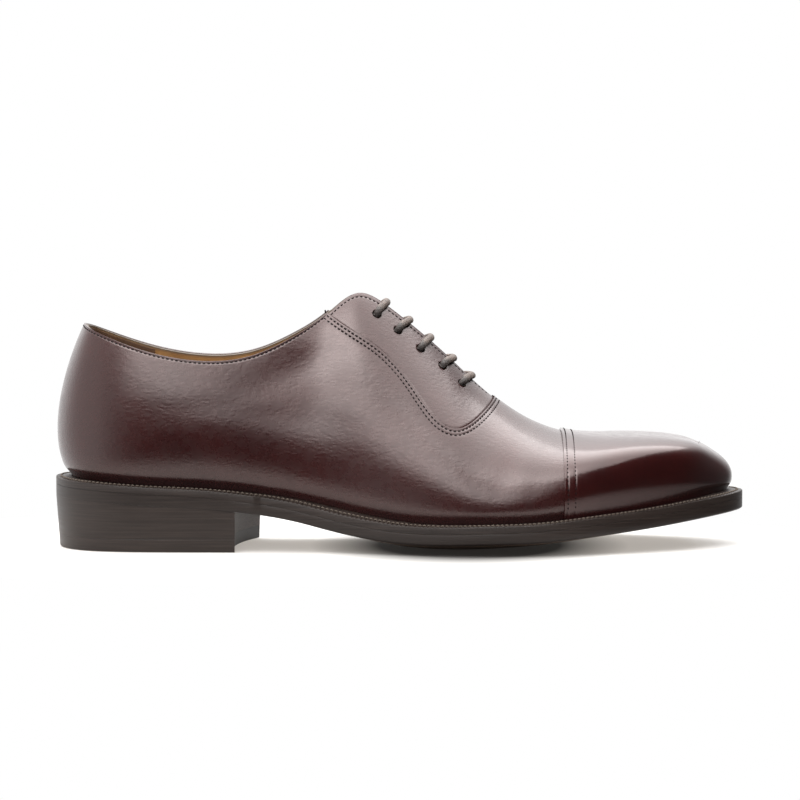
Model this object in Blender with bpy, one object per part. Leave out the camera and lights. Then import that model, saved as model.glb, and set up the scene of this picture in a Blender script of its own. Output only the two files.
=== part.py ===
"""Adelaide oxford for the right foot: a welted leather dress shoe on a stacked heel.

Sizes are in millimetres until they reach a mesh. The toe points along +X, the outer side of the foot
faces -Y and the floor is z = 0. Sections are counted from the back of the heel to the tip of the toe,
and a position between two sections is a fraction.
"""

import math
from collections import namedtuple

import bmesh
import bpy
import numpy as np
from mathutils import Vector

MM = 0.001
GAP = 0.3
WELD = 0.001
LATERAL, MEDIAL = -1, 1
SIDES = {"lateral": LATERAL, "medial": MEDIAL}

# Sole, one row for each section: place along the foot, half widths to each side, height of the lateral
# lower edge, how much higher the medial one is, how far the middle hangs below the edges, how far the
# welt stands out from the upper, and how much the welt slopes up to the upper.
SoleRow = namedtuple("SoleRow", "along lateral medial edge arch cup welt tilt")
SOLE_ROWS = (
    SoleRow(0.0, 0.0, 0.0, 22.9, 0.0, 0.0, 5.8, 0.3),
    SoleRow(3.7, 15.2, 15.0, 22.6, 0.0, 0.0, 5.4, 0.3),
    SoleRow(13.5, 26.0, 25.4, 22.1, 0.0, 0.0, 4.6, 0.3),
    SoleRow(28.0, 31.4, 30.4, 21.2, 0.0, 0.0, 4.0, 0.3),
    SoleRow(46.0, 33.3, 31.8, 20.2, 0.0, 0.0, 3.6, 0.3),
    SoleRow(66.0, 33.8, 31.8, 19.2, 0.0, 0.0, 3.6, 0.4),
    SoleRow(86.0, 34.2, 30.8, 17.0, 0.2, 0.0, 3.8, 0.8),
    SoleRow(105.0, 35.6, 29.6, 13.9, 1.0, 1.0, 4.2, 1.4),
    SoleRow(122.0, 38.2, 29.6, 9.8, 2.0, 2.0, 4.8, 1.8),
    SoleRow(138.0, 42.0, 31.8, 6.7, 2.4, 3.2, 5.0, 1.6),
    SoleRow(154.0, 46.2, 36.4, 4.8, 1.6, 4.4, 5.0, 1.0),
    SoleRow(172.0, 50.2, 43.0, 4.5, 0.6, 5.4, 5.0, 0.5),
    SoleRow(192.0, 52.6, 49.2, 5.1, 0.1, 5.6, 5.2, 0.3),
    SoleRow(212.0, 51.6, 52.0, 5.8, 0.0, 4.6, 5.2, 0.3),
    SoleRow(230.0, 47.8, 51.6, 7.5, 0.0, 3.9, 5.3, 0.3),
    SoleRow(248.0, 41.4, 48.8, 9.3, 0.0, 3.1, 5.4, 0.3),
    SoleRow(265.0, 33.0, 43.8, 11.1, 0.0, 2.2, 5.5, 0.3),
    SoleRow(280.0, 24.4, 37.6, 13.1, 0.0, 1.3, 5.9, 0.3),
    SoleRow(292.0, 15.0, 30.2, 14.6, 0.0, 0.7, 6.6, 0.3),
    SoleRow(300.5, 5.2, 20.4, 15.6, 0.0, 0.3, 7.0, 0.4),
    SoleRow(304.4, -7.2, 7.2, 15.9, 0.0, 0.0, 7.2, 0.4),
)

# Upper, one row for each section: the collar, slit edge or ridge that ends the wall (its place along
# the foot, height, line of symmetry and half opening), how far the wall swells out and up as it leaves
# the welt, and how far out and down it lies before it reaches the top.
UpperRow = namedtuple("UpperRow", "along height ridge opening flare rise reach drop")
UPPER_ROWS = (
    UpperRow(12.8, 98.4, 0.0, 0.0, 10.0, 14.5, 11.2, 23.4),
    UpperRow(14.6, 97.4, 0.0, 10.4, 9.5, 14.5, 10.0, 23.0),
    UpperRow(21.5, 94.4, 0.0, 18.6, 8.5, 14.0, 8.5, 22.0),
    UpperRow(33.0, 90.0, 0.0, 23.8, 7.5, 14.0, 7.5, 21.0),
    UpperRow(48.5, 85.6, 0.0, 26.4, 7.0, 15.0, 7.5, 20.0),
    UpperRow(67.5, 83.2, 0.0, 26.8, 6.5, 15.0, 8.0, 20.0),
    UpperRow(87.0, 85.4, 0.0, 24.6, 6.5, 16.0, 9.0, 22.0),
    UpperRow(105.0, 93.2, 0.5, 19.6, 7.0, 19.0, 11.0, 23.0),
    UpperRow(119.5, 102.9, 1.0, 12.0, 8.0, 22.0, 14.0, 20.0),
    UpperRow(133.7, 112.4, 1.5, 5.4, 8.5, 25.0, 15.0, 13.0),
    UpperRow(150.0, 104.4, 2.0, 4.2, 8.5, 25.0, 14.5, 8.0),
    UpperRow(170.5, 87.4, 2.5, 3.2, 8.0, 23.0, 17.0, 5.0),
    UpperRow(191.5, 68.0, 3.0, 1.2, 7.0, 20.0, 21.0, 1.5),
    UpperRow(212.0, 54.4, 3.5, 0.0, 6.0, 22.0, 31.0, 0.0),
    UpperRow(231.0, 48.7, 4.2, 0.0, 5.5, 26.5, 38.0, 0.0),
    UpperRow(248.5, 48.0, 5.0, 0.0, 5.0, 28.5, 38.5, 0.0),
    UpperRow(263.5, 47.6, 5.8, 0.0, 4.8, 27.5, 33.5, 0.0),
    UpperRow(274.0, 46.5, 6.5, 0.0, 4.6, 24.0, 25.5, 0.0),
    UpperRow(280.0, 45.2, 7.0, 0.0, 4.4, 16.5, 16.5, 0.0),
    UpperRow(283.4, 44.3, 7.2, 0.0, 4.3, 10.0, 12.2, 0.0),
    UpperRow(284.5, 43.9, 7.2, 0.0, 4.3, 8.5, 11.4, 0.0),
)
TOE_TIP = len(SOLE_ROWS) - 1
ROW_STEP = 0.0001

# Facing seam seen from the side, from above the collar round the foot of the U to past the vamp point.
SeamPoint = namedtuple("SeamPoint", "along height")
SEAM = (
    SeamPoint(117.0, 106.3),
    SeamPoint(120.0, 103.7),
    SeamPoint(142.0, 89.0),
    SeamPoint(157.0, 73.3),
    SeamPoint(166.0, 60.8),
    SeamPoint(176.5, 54.0),
    SeamPoint(186.5, 58.4),
    SeamPoint(194.0, 65.6),
    SeamPoint(196.0, 68.0),
)

SEAM_GAP = 0.4
SEAM_STEPS = 16
SEAM_CROWDING = 1.6
COLLAR_ROWS, VAMP_ROWS = (7, 9), (11, 13)
SLIT_NARROWS, SLIT_CLOSES = 11.2, 12.05
LEAST_LEVEL = 0.2

UPPER_WALL = 2.0
WALL_STEPS = 9
QUARTER_STEPS, VAMP_STEPS, CAP_STEPS = 17, 5, 13
FACING_STEP = 0.8
FACING_WALL = 1.4
FACING_TOP_END, FACING_FRONT_END = 0.1, 0.02
FACING_SLIT_LEVEL = 0.988
FACING_STEPS = 5
TONGUE_WALL = 1.6
TONGUE_TOP, TONGUE_FRONT = 9.12, 11.9
TONGUE_TUCK = 0.2
TONGUE_CLEAR = 0.5
TONGUE_STEPS, TONGUE_HALF_STEPS = 11, 4
CAP_ALONG = 223.4
CAP_WALL = 0.8
CAP_HEM = 0.06

OUTSOLE_THICK = 4.8
WELT_THICK = 3.0
WELT_UNDER = 3.5
INSOLE_THICK = 4.2
SOLE_EDGE = OUTSOLE_THICK + GAP + WELT_THICK
OUTSOLE_STEPS, OUTSOLE_ACROSS = 44, 8
INSOLE_STEPS, INSOLE_ACROSS = 32, 6
SEAT_PROUD = 1.0
SEAT_END, SEAT_FADE = 92.0, 4.0
CREASE = math.radians(40)

TOP_LIFT = 5.5
HEEL_FRONT_ROW = 6.6
HEEL_STEPS, HEEL_ACROSS = 16, 2
HEEL_TAPER = 0.965
HEEL_CENTRE = 46.0
BREAST_LATERAL, BREAST_MEDIAL = 80.0, 90.5
BREAST_HALF_WIDTH = 33.0
BREAST_HOLLOW = 5.0
BREAST_SIDES = 96
BREAST_HEIGHT = 120.0

# Eyelets of one facing from the top down: place along the foot, depth below the slit seen from the
# side, and where the lace from it crosses the slit.
Eyelet = namedtuple("Eyelet", "along below crossing")
EYELETS = (
    Eyelet(142.4, 6.6, 146.4),
    Eyelet(151.7, 6.9, 156.6),
    Eyelet(161.7, 6.9, 165.9),
    Eyelet(171.4, 6.0, 176.0),
    Eyelet(180.0, 5.6, 184.2),
)
EYELET_RADIUS = 2.2
EYELET_SIDES = 12
EYELET_ROWS = (8, 13)
PUNCH_LENGTH = 8.0
LACE_RADIUS = 1.5
LACE_DIP = 1.8
LACE_CLEAR = 0.45
LACE_RIDE = LACE_RADIUS + LACE_CLEAR - FACING_STEP
# Lace over one facing: share of the way from eyelet to slit, and height over the wall's own face.
LacePoint = namedtuple("LacePoint", "share height")
LACE_HALF = (
    LacePoint(0.0, -LACE_DIP),
    LacePoint(0.0, 0.1),
    LacePoint(0.1, LACE_RIDE + 0.2),
    LacePoint(0.4, LACE_RIDE + 0.1),
    LacePoint(0.85, LACE_RIDE),
)
LACE_CROWN = 0.6
LACE_STEPS = 14

Finish = namedtuple("Finish", "colour roughness")
CALF = Finish((0.052, 0.017, 0.016), 0.30)
POLISHED_CALF = Finish((0.052, 0.017, 0.016), 0.22)
LINING = Finish((0.40, 0.22, 0.09), 0.60)
SOLE_LEATHER = Finish((0.060, 0.042, 0.034), 0.40)
STACK_LEATHER = Finish((0.075, 0.050, 0.038), 0.45)
RUBBER = Finish((0.020, 0.018, 0.017), 0.60)
LACE_COTTON = Finish((0.120, 0.090, 0.080), 0.70)


class Spline:
    """Cubic curve through one value at each knot, level at both ends or free to slope there."""

    def __init__(self, knots, values, level=True):
        self.knots = np.array(knots, float)
        self.values = np.array(values, float)
        gaps = np.diff(self.knots)
        slopes = np.diff(self.values) / gaps
        count = len(knots)
        system = np.identity(count)
        bend = np.zeros(count)
        for i in range(1, count - 1):
            system[i, i - 1:i + 2] = gaps[i - 1], 2 * (gaps[i - 1] + gaps[i]), gaps[i]
            bend[i] = 6 * (slopes[i] - slopes[i - 1])
        if level:
            system[0, :2] = 2 * gaps[0], gaps[0]
            system[-1, -2:] = gaps[-1], 2 * gaps[-1]
            bend[0] = 6 * slopes[0]
            bend[-1] = -6 * slopes[-1]
        self.bend = np.linalg.solve(system, bend)

    def __call__(self, at):
        i = int(np.clip(np.searchsorted(self.knots, at, side="right") - 1, 0, len(self.knots) - 2))
        gap = self.knots[i + 1] - self.knots[i]
        after = (at - self.knots[i]) / gap
        before = 1 - after
        curve = (before ** 3 - before) * self.bend[i] + (after ** 3 - after) * self.bend[i + 1]
        return before * self.values[i] + after * self.values[i + 1] + curve * gap ** 2 / 6


def column(rows, name):
    """A named column of a section table as a curve along the foot."""
    return Spline(range(len(rows)), [getattr(row, name) for row in rows])


sole = {name: column(SOLE_ROWS, name) for name in SoleRow._fields}
upper = {name: column(UPPER_ROWS, name) for name in UpperRow._fields}
swing = Spline(range(TOE_TIP + 1), [(row.medial - row.lateral) / 2 for row in SOLE_ROWS])
half_width = Spline(range(TOE_TIP + 1), [(row.medial + row.lateral) / 2 for row in SOLE_ROWS], level=False)
seam_height = Spline([point.along for point in SEAM], [point.height for point in SEAM], level=False)


def ease(low, high, at):
    """Smooth step from 0 at low to 1 at high."""
    share = min(max((at - low) / (high - low), 0.0), 1.0)
    return share * share * (3 - 2 * share)


def solve(function, low, high):
    """Where a rising function crosses zero."""
    for _ in range(40):
        middle = (low + high) / 2
        if function(middle) < 0:
            low = middle
        else:
            high = middle
    return (low + high) / 2


def edge_point(row, side):
    """Plan point on the sole's edge, without the proud heel seat."""
    return np.array((sole["along"](row), swing(row) + side * half_width(row)))


def edge_normal(row, side):
    """Outward plan direction of the sole's edge."""
    run = edge_point(min(row + ROW_STEP, TOE_TIP), side) - edge_point(max(row - ROW_STEP, 0), side)
    run /= np.linalg.norm(run)
    return side * np.array((-run[1], run[0]))


def inset_point(row, side, inset):
    """Plan point a distance inside the sole's edge."""
    return edge_point(row, side) - edge_normal(row, side) * inset


def outer_point(row, side):
    """Plan point on the sole's edge, whose heel seat stands a little proud of the waist."""
    seat = 1 - ease(SEAT_END - SEAT_FADE, SEAT_END, sole["along"](row))
    normal = edge_normal(row, side)
    return edge_point(row, side) + normal * SEAT_PROUD * seat * normal[1] ** 2


def row_at(along):
    """Section whose sole edge lies at a place along the foot."""
    return solve(lambda row: sole["along"](row) - along, 0, TOE_TIP)


def tread_across(row, across):
    """Height of the sole's underside, -1 across being the lateral edge and 1 the medial one."""
    return sole["edge"](row) + sole["arch"](row) * (1 + across) / 2 - sole["cup"](row) * (1 - across ** 2)


def tread(x, y):
    """Height of the sole's underside at a plan point, before the floor flattens the ball."""
    row = row_at(x)
    across = (y - swing(row)) / max(half_width(row), 1.0)
    return tread_across(row, min(max(across, -1.0), 1.0))


def top_point(row, side):
    """Collar, slit edge or ridge at a section."""
    opening = upper["opening"](row) * (1 - ease(SLIT_NARROWS, SLIT_CLOSES, row))
    return np.array((upper["along"](row), upper["ridge"](row) + side * opening, upper["height"](row)))


def ridge_slope(row):
    """Rise of the ridge per unit along the foot."""
    fore, aft = min(row + ROW_STEP, TOE_TIP), max(row - ROW_STEP, 0)
    climb = upper["height"](fore) - upper["height"](aft)
    return climb / (upper["along"](fore) - upper["along"](aft))


def wall(row, side, level):
    """Point on the upper's outer face: level 0 is at the welt and 1 at the top."""
    normal = np.append(edge_normal(row, side), 0.0)
    edge = edge_point(row, side)
    height = tread_across(row, side) + SOLE_EDGE + sole["tilt"](row) + GAP
    foot = np.append(edge, height) - normal * sole["welt"](row)
    top = top_point(row, side)
    reach = upper["reach"](row)
    follow = ease(*VAMP_ROWS, row) * ridge_slope(row) * normal[0] * reach
    swell = foot + normal * upper["flare"](row) + np.array((0, 0, upper["rise"](row)))
    shoulder = top + normal * reach + np.array((0, 0, follow - upper["drop"](row)))
    below = 1 - level
    return (below ** 3 * foot + 3 * below ** 2 * level * swell
            + 3 * below * level ** 2 * shoulder + level ** 3 * top)


def wall_normal(row, side, level):
    """Outward direction of the upper's face."""
    low, high = max(level - ROW_STEP, 0), min(level + ROW_STEP, 1)
    along = wall(row + ROW_STEP, side, level) - wall(row - ROW_STEP, side, level)
    up = wall(row, side, high) - wall(row, side, low)
    normal = np.cross(along, up) * -side
    return normal / np.linalg.norm(normal)


def seam_excess(row, side, level, lift=0.0):
    """Height of a wall point over the facing seam, raised by lift square to the seam."""
    x, _, z = wall(row, side, level)
    slope = (seam_height(x + ROW_STEP) - seam_height(x - ROW_STEP)) / (2 * ROW_STEP)
    return z - seam_height(x) - lift * math.hypot(1, slope)


def seam_level(row, side, lift=0.0):
    """How far up the wall the facing seam crosses a section."""
    return solve(lambda level: seam_excess(row, side, level, lift), LEAST_LEVEL, 1.0)


def seam_ends(side, lift=0.0):
    """Sections where the facing seam leaves the collar and where it reaches the ridge."""
    collar = solve(lambda row: seam_excess(row, side, 1.0, lift), *COLLAR_ROWS)
    vamp = solve(lambda row: -seam_excess(row, side, 1.0, lift), *VAMP_ROWS)
    return collar, vamp


COLLAR_END, VAMP_POINT = seam_ends(LATERAL)
CAP_ROW = solve(lambda row: upper["along"](row) - CAP_ALONG, VAMP_POINT, TOE_TIP)
SEAM_SECTIONS = VAMP_POINT - (VAMP_POINT - COLLAR_END) * np.linspace(1, 0, SEAM_STEPS + 1) ** SEAM_CROWDING


def leather_top(row, side):
    """Level where the upper ends: the collar, the facing seam or the ridge."""
    if COLLAR_END < row < VAMP_POINT:
        return seam_level(row, side)
    return 1.0


def evenly(start, end, steps):
    """Evenly spaced values from start to end, both included."""
    return list(np.linspace(start, end, steps + 1))


def give_finish(obj, finish):
    """Give a piece its own material."""
    material = bpy.data.materials.new(obj.name + "_finish")
    material.use_nodes = True
    shader = material.node_tree.nodes["Principled BSDF"]
    shader.inputs["Base Color"].default_value = (*finish.colour, 1.0)
    shader.inputs["Roughness"].default_value = finish.roughness
    shader.inputs["Metallic"].default_value = 0.0
    obj.data.materials.append(material)


def add_object(name, data):
    """Put mesh or curve data in the scene as a piece of the shoe."""
    obj = bpy.data.objects.new(name, data)
    bpy.context.scene.collection.objects.link(obj)
    obj.parent = shoe
    return obj


def add_mesh(name, bm):
    """Turn finished geometry into a smooth piece with its sharp edges kept."""
    mesh = bpy.data.meshes.new(name)
    bm.to_mesh(mesh)
    bm.free()
    mesh.shade_smooth()
    mesh.set_sharp_from_angle(angle=CREASE)
    return add_object(name, mesh)


def add_cutter(name, bm):
    """Turn finished geometry into a shape that only cuts other pieces."""
    cutter = add_mesh(name, bm)
    cutter.hide_render = True
    cutter.display_type = "WIRE"
    return cutter


def cut_by(obj, cutter):
    """Take a cutter's shape out of a piece."""
    cut = obj.modifiers.new(cutter.name, "BOOLEAN")
    cut.operation = "DIFFERENCE"
    cut.object = cutter


def add_grid(bm, columns):
    """Faces between neighbouring columns of points, outward when they run to the right and up."""
    placed = [[bm.verts.new(Vector(point) * MM) for point in points] for points in columns]
    for left, right in zip(placed, placed[1:]):
        for i in range(len(left) - 1):
            bm.faces.new((left[i], right[i], right[i + 1], left[i + 1]))


def skin(patches):
    """Open skin of one or more grids, welded where they share points."""
    bm = bmesh.new()
    for columns in patches:
        add_grid(bm, columns)
    bmesh.ops.remove_doubles(bm, verts=bm.verts[:], dist=WELD * MM)
    return bm


def add_slab(name, columns, lift):
    """Solid between a skin and its copy moved by lift."""
    bm = skin([columns])
    raised = bmesh.ops.extrude_face_region(bm, geom=bm.faces[:])
    for item in raised["geom"]:
        if isinstance(item, bmesh.types.BMVert):
            item.co = Vector(lift(*(item.co / MM))) * MM
    bmesh.ops.recalc_face_normals(bm, faces=bm.faces[:])
    return add_mesh(name, bm)


def add_leather(name, patches, raised, thickness):
    """Skin moved out by raised and given a wall towards the foot."""
    obj = add_mesh(name, skin(patches))
    if raised:
        shift = obj.modifiers.new("shift", "DISPLACE")
        shift.mid_level = 0.0
        shift.strength = raised * MM
    thick = obj.modifiers.new("wall", "SOLIDIFY")
    thick.thickness = thickness * MM
    thick.offset = -1.0
    return obj


def side_patch(rows, side, points):
    """Columns of points on one side, ordered so that the faces look outwards."""
    ordered = rows if side == LATERAL else rows[::-1]
    return [points(row, side) for row in ordered]


def add_upper():
    rows = (evenly(0, COLLAR_END, QUARTER_STEPS)[:-1] + list(SEAM_SECTIONS[:-1])
            + evenly(VAMP_POINT, CAP_ROW, VAMP_STEPS)[:-1] + evenly(CAP_ROW, TOE_TIP, CAP_STEPS))

    def points(row, side):
        return [wall(row, side, level) for level in evenly(0, leather_top(row, side), WALL_STEPS)]

    patches = [side_patch(rows, side, points) for side in SIDES.values()]
    give_finish(add_leather("upper", patches, 0, UPPER_WALL), CALF)


def add_toe_cap():
    rows = evenly(CAP_ROW, TOE_TIP, CAP_STEPS)

    def points(row, side):
        return [wall(row, side, level) for level in evenly(CAP_HEM, 1, WALL_STEPS)]

    patches = [side_patch(rows, side, points) for side in SIDES.values()]
    give_finish(add_leather("toe_cap", patches, GAP + CAP_WALL, CAP_WALL), POLISHED_CALF)


def ridge_row(along):
    """Section whose slit edge or ridge lies at a place along the foot."""
    return solve(lambda row: upper["along"](row) - along, COLLAR_ROWS[0], TOE_TIP)


def eyelet_spot(hole):
    """Section and level of an eyelet, the same on both facings."""
    height = upper["height"](ridge_row(hole.along)) - hole.below

    def row_on(level):
        return solve(lambda row: wall(row, LATERAL, level)[0] - hole.along, *EYELET_ROWS)

    level = solve(lambda at: wall(row_on(at), LATERAL, at)[2] - height, LEAST_LEVEL, 1.0)
    return row_on(level), level


def add_punch(name, side):
    """Round punches standing square to the facing at its eyelets."""
    bm = bmesh.new()
    for hole in EYELETS:
        row, level = eyelet_spot(hole)
        normal = Vector(wall_normal(row, side, level))
        place = normal.to_track_quat("Z", "Y").to_matrix().to_4x4()
        place.translation = Vector(wall(row, side, level)) * MM
        bmesh.ops.create_cone(bm, cap_ends=True, segments=EYELET_SIDES, radius1=EYELET_RADIUS * MM,
                              radius2=EYELET_RADIUS * MM, depth=PUNCH_LENGTH * MM, matrix=place)
    return add_cutter(name, bm)


def add_facing(word, side):
    collar, vamp = seam_ends(side, SEAM_GAP)
    start, end = collar + FACING_TOP_END, vamp - FACING_FRONT_END
    inner = [row for row in SEAM_SECTIONS if start + FACING_TOP_END < row < end - FACING_FRONT_END]

    def points(row, at_side):
        low = seam_level(row, at_side, SEAM_GAP)
        return [wall(row, at_side, level) for level in evenly(low, FACING_SLIT_LEVEL, FACING_STEPS)]

    patch = side_patch([start] + inner + [end], side, points)
    obj = add_leather("facing_" + word, [patch], -FACING_STEP, FACING_WALL)
    cut_by(obj, add_punch("punch_" + word, side))
    give_finish(obj, CALF)


def add_tongue():
    columns = []
    for row in evenly(TONGUE_TOP, TONGUE_FRONT, TONGUE_STEPS):
        flanks = {}
        for side in SIDES.values():
            seam = seam_level(row, side)
            low = seam + TONGUE_TUCK * (1 - seam)
            flanks[side] = [wall(row, side, level) for level in evenly(low, 1, TONGUE_HALF_STEPS)]
        crown = (flanks[LATERAL][-1] + flanks[MEDIAL][-1]) / 2
        half_slit = np.linalg.norm(flanks[LATERAL][-1] - crown)
        crown[2] += half_slit * upper["drop"](row) / upper["reach"](row) / 2
        columns.append(flanks[LATERAL] + [crown] + flanks[MEDIAL][::-1])
    depth = FACING_STEP + FACING_WALL + TONGUE_CLEAR
    give_finish(add_leather("tongue", [columns], -depth, TONGUE_WALL), CALF)


def strips(rows, outline, height, steps):
    """Columns of points across the sole, one for each section, inside an outline."""
    columns = []
    for row in rows:
        lateral = outline(row, LATERAL)
        medial = outline(row, MEDIAL)
        across = [lateral + (medial - lateral) * share for share in evenly(0, 1, steps)]
        columns.append([(x, y, height(x, y)) for x, y in across])
    return columns


def add_outsole():
    rows = evenly(0, TOE_TIP, OUTSOLE_STEPS)
    columns = strips(rows, outer_point, lambda x, y: max(tread(x, y), 0.0), OUTSOLE_ACROSS)
    obj = add_slab("outsole", columns, lambda x, y, z: (x, y, tread(x, y) + OUTSOLE_THICK))
    give_finish(obj, SOLE_LEATHER)


def add_insole():
    rows = evenly(0, TOE_TIP, INSOLE_STEPS)

    def outline(row, side):
        return inset_point(row, side, sole["welt"](row) + WELT_UNDER + GAP)

    columns = strips(rows, outline, lambda x, y: tread(x, y) + OUTSOLE_THICK + GAP, INSOLE_ACROSS)
    obj = add_slab("insole", columns, lambda x, y, z: (x, y, z + INSOLE_THICK))
    give_finish(obj, LINING)


def welt_section(row, side):
    """Corners of the welt where it is cut square to the sole's edge."""
    inset = sole["welt"](row)
    edge = outer_point(row, side)
    feather = inset_point(row, side, inset)
    inner = inset_point(row, side, inset + WELT_UNDER)
    edge_top = tread_across(row, side) + SOLE_EDGE
    inner_top = edge_top + sole["tilt"](row)
    inner_under = tread(*inner) + OUTSOLE_THICK + GAP
    return ((*edge, edge_top - WELT_THICK), (*edge, edge_top), (*feather, inner_top),
            (*inner, inner_top), (*inner, inner_under))


def add_welt():
    rows = evenly(0, TOE_TIP, OUTSOLE_STEPS)
    around = [(row, LATERAL) for row in rows] + [(row, MEDIAL) for row in rows[-2:0:-1]]
    bm = bmesh.new()
    rings = [[bm.verts.new(Vector(corner) * MM) for corner in welt_section(*place)] for place in around]
    for ring, following in zip(rings, rings[1:] + rings[:1]):
        for i, start in enumerate(ring):
            after = (i + 1) % len(ring)
            bm.faces.new((start, following[i], following[after], ring[after]))
    bmesh.ops.recalc_face_normals(bm, faces=bm.faces[:])
    give_finish(add_mesh("welt", bm), SOLE_LEATHER)


def add_breast():
    """Upright drum whose back makes the hollow front of the heel."""
    lateral = np.array((BREAST_LATERAL, -BREAST_HALF_WIDTH))
    medial = np.array((BREAST_MEDIAL, BREAST_HALF_WIDTH))
    chord = medial - lateral
    length = np.linalg.norm(chord)
    radius = length ** 2 / (8 * BREAST_HOLLOW) + BREAST_HOLLOW / 2
    forward = np.array((chord[1], -chord[0])) / length
    centre = (lateral + medial) / 2 + forward * (radius - BREAST_HOLLOW)
    bm = bmesh.new()
    bmesh.ops.create_cone(bm, cap_ends=True, segments=BREAST_SIDES, radius1=radius * MM,
                          radius2=radius * MM, depth=BREAST_HEIGHT * MM)
    bmesh.ops.translate(bm, verts=bm.verts[:], vec=Vector((*centre, 0)) * MM)
    return add_cutter("breast", bm)


def heel_scale(height):
    """How much of the sole's plan the heel keeps at a height, drawn in towards the floor."""
    return HEEL_TAPER + (1 - HEEL_TAPER) * height / SOLE_ROWS[0].edge


def draw_in(x, y, scale):
    """Plan point drawn towards the middle of the heel."""
    return HEEL_CENTRE + (x - HEEL_CENTRE) * scale, y * scale


def add_heel_layer(name, bottom, top, breast):
    """Layer of the heel between a level bottom and a top, cut by the breast."""
    rows = evenly(0, HEEL_FRONT_ROW, HEEL_STEPS)
    low_scale = heel_scale(bottom)
    columns = strips(rows, outer_point, lambda x, y: bottom, HEEL_ACROSS)
    columns = [[(*draw_in(x, y, low_scale), z) for x, y, z in points] for points in columns]

    def lift(x, y, z):
        plan = draw_in(x, y, 1 / low_scale)
        height = top(*plan)
        return (*draw_in(*plan, heel_scale(height)), height)

    obj = add_slab(name, columns, lift)
    cut_by(obj, breast)
    return obj


def add_heel():
    breast = add_breast()
    top_lift = add_heel_layer("heel_top_lift", 0.0, lambda x, y: TOP_LIFT, breast)
    give_finish(top_lift, RUBBER)
    stack = add_heel_layer("heel_stack", TOP_LIFT + GAP, lambda x, y: tread(x, y) - GAP, breast)
    give_finish(stack, STACK_LEATHER)


def lace_route(hole):
    """Points of one lace bar, from the lateral eyelet over the slit into the medial one."""
    row, level = eyelet_spot(hole)
    slit_row = ridge_row(hole.crossing)
    halves = {}
    for side in SIDES.values():
        half = []
        for point in LACE_HALF:
            at = (row + (slit_row - row) * point.share, side, level + (1 - level) * point.share)
            half.append(wall(*at) + wall_normal(*at) * point.height)
        halves[side] = half
    middle = (top_point(slit_row, LATERAL) + top_point(slit_row, MEDIAL)) / 2
    middle[2] += LACE_RIDE + LACE_CROWN
    return np.array(halves[LATERAL] + [middle] + halves[MEDIAL][::-1])


def add_lace_bar(name, hole):
    route = lace_route(hole)
    spans = np.linalg.norm(np.diff(route, axis=0), axis=1)
    knots = np.append(0, np.cumsum(spans))
    curves = [Spline(knots, route[:, axis], level=False) for axis in range(3)]
    data = bpy.data.curves.new(name, "CURVE")
    data.dimensions = "3D"
    data.bevel_depth = LACE_RADIUS * MM
    data.bevel_resolution = 2
    data.use_fill_caps = True
    path = data.splines.new("POLY")
    path.points.add(LACE_STEPS)
    for point, at in zip(path.points, evenly(0, knots[-1], LACE_STEPS)):
        point.co = (*(curve(at) * MM for curve in curves), 1.0)
    give_finish(add_object(name, data), LACE_COTTON)


for old in list(bpy.data.objects):
    bpy.data.objects.remove(old)

shoe = bpy.data.objects.new("shoe", None)
bpy.context.scene.collection.objects.link(shoe)
outline = [outer_point(row, side) for row in evenly(0, TOE_TIP, OUTSOLE_STEPS) for side in SIDES.values()]
shoe.location = Vector((*(np.min(outline, axis=0) + np.max(outline, axis=0)), 0)) * -MM / 2

add_outsole()
add_welt()
add_insole()
add_heel()
add_upper()
add_toe_cap()
for facing_word, facing_side in SIDES.items():
    add_facing(facing_word, facing_side)
add_tongue()
for bar_number, bar_hole in enumerate(EYELETS, start=1):
    add_lace_bar("lace_bar_%d" % bar_number, bar_hole)
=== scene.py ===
"""Looks of the adelaide oxford for the right foot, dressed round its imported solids.

Sizes are in millimetres until they reach a mesh. The toe points along +X, the outer side of the foot
faces -Y and the floor is z = 0. Sections are counted from the back of the heel to the tip of the toe,
and a position between two sections is a fraction.
"""

import math
from collections import namedtuple
from types import SimpleNamespace

import bpy
import numpy as np
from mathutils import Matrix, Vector


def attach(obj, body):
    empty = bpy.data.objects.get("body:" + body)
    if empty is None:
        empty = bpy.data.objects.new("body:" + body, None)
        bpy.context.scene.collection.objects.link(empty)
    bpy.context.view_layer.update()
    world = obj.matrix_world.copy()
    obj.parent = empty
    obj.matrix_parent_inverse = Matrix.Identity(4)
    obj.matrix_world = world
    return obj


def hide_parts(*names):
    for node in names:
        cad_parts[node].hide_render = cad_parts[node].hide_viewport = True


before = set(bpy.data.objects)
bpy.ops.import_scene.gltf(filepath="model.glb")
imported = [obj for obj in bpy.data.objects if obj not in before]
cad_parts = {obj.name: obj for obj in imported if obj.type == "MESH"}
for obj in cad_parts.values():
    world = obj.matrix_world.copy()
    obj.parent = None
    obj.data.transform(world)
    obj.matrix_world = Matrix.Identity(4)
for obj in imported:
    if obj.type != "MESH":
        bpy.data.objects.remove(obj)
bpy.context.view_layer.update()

MM = 0.001
GAP = 0.3
WELD = 0.004
LATERAL, MEDIAL = -1, 1
SIDES = {"lateral": LATERAL, "medial": MEDIAL}


def table(columns, *rows):
    """Rows of numbers whose columns have names."""
    row_type = namedtuple("Row", columns)
    return [row_type(*row) for row in rows]


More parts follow.
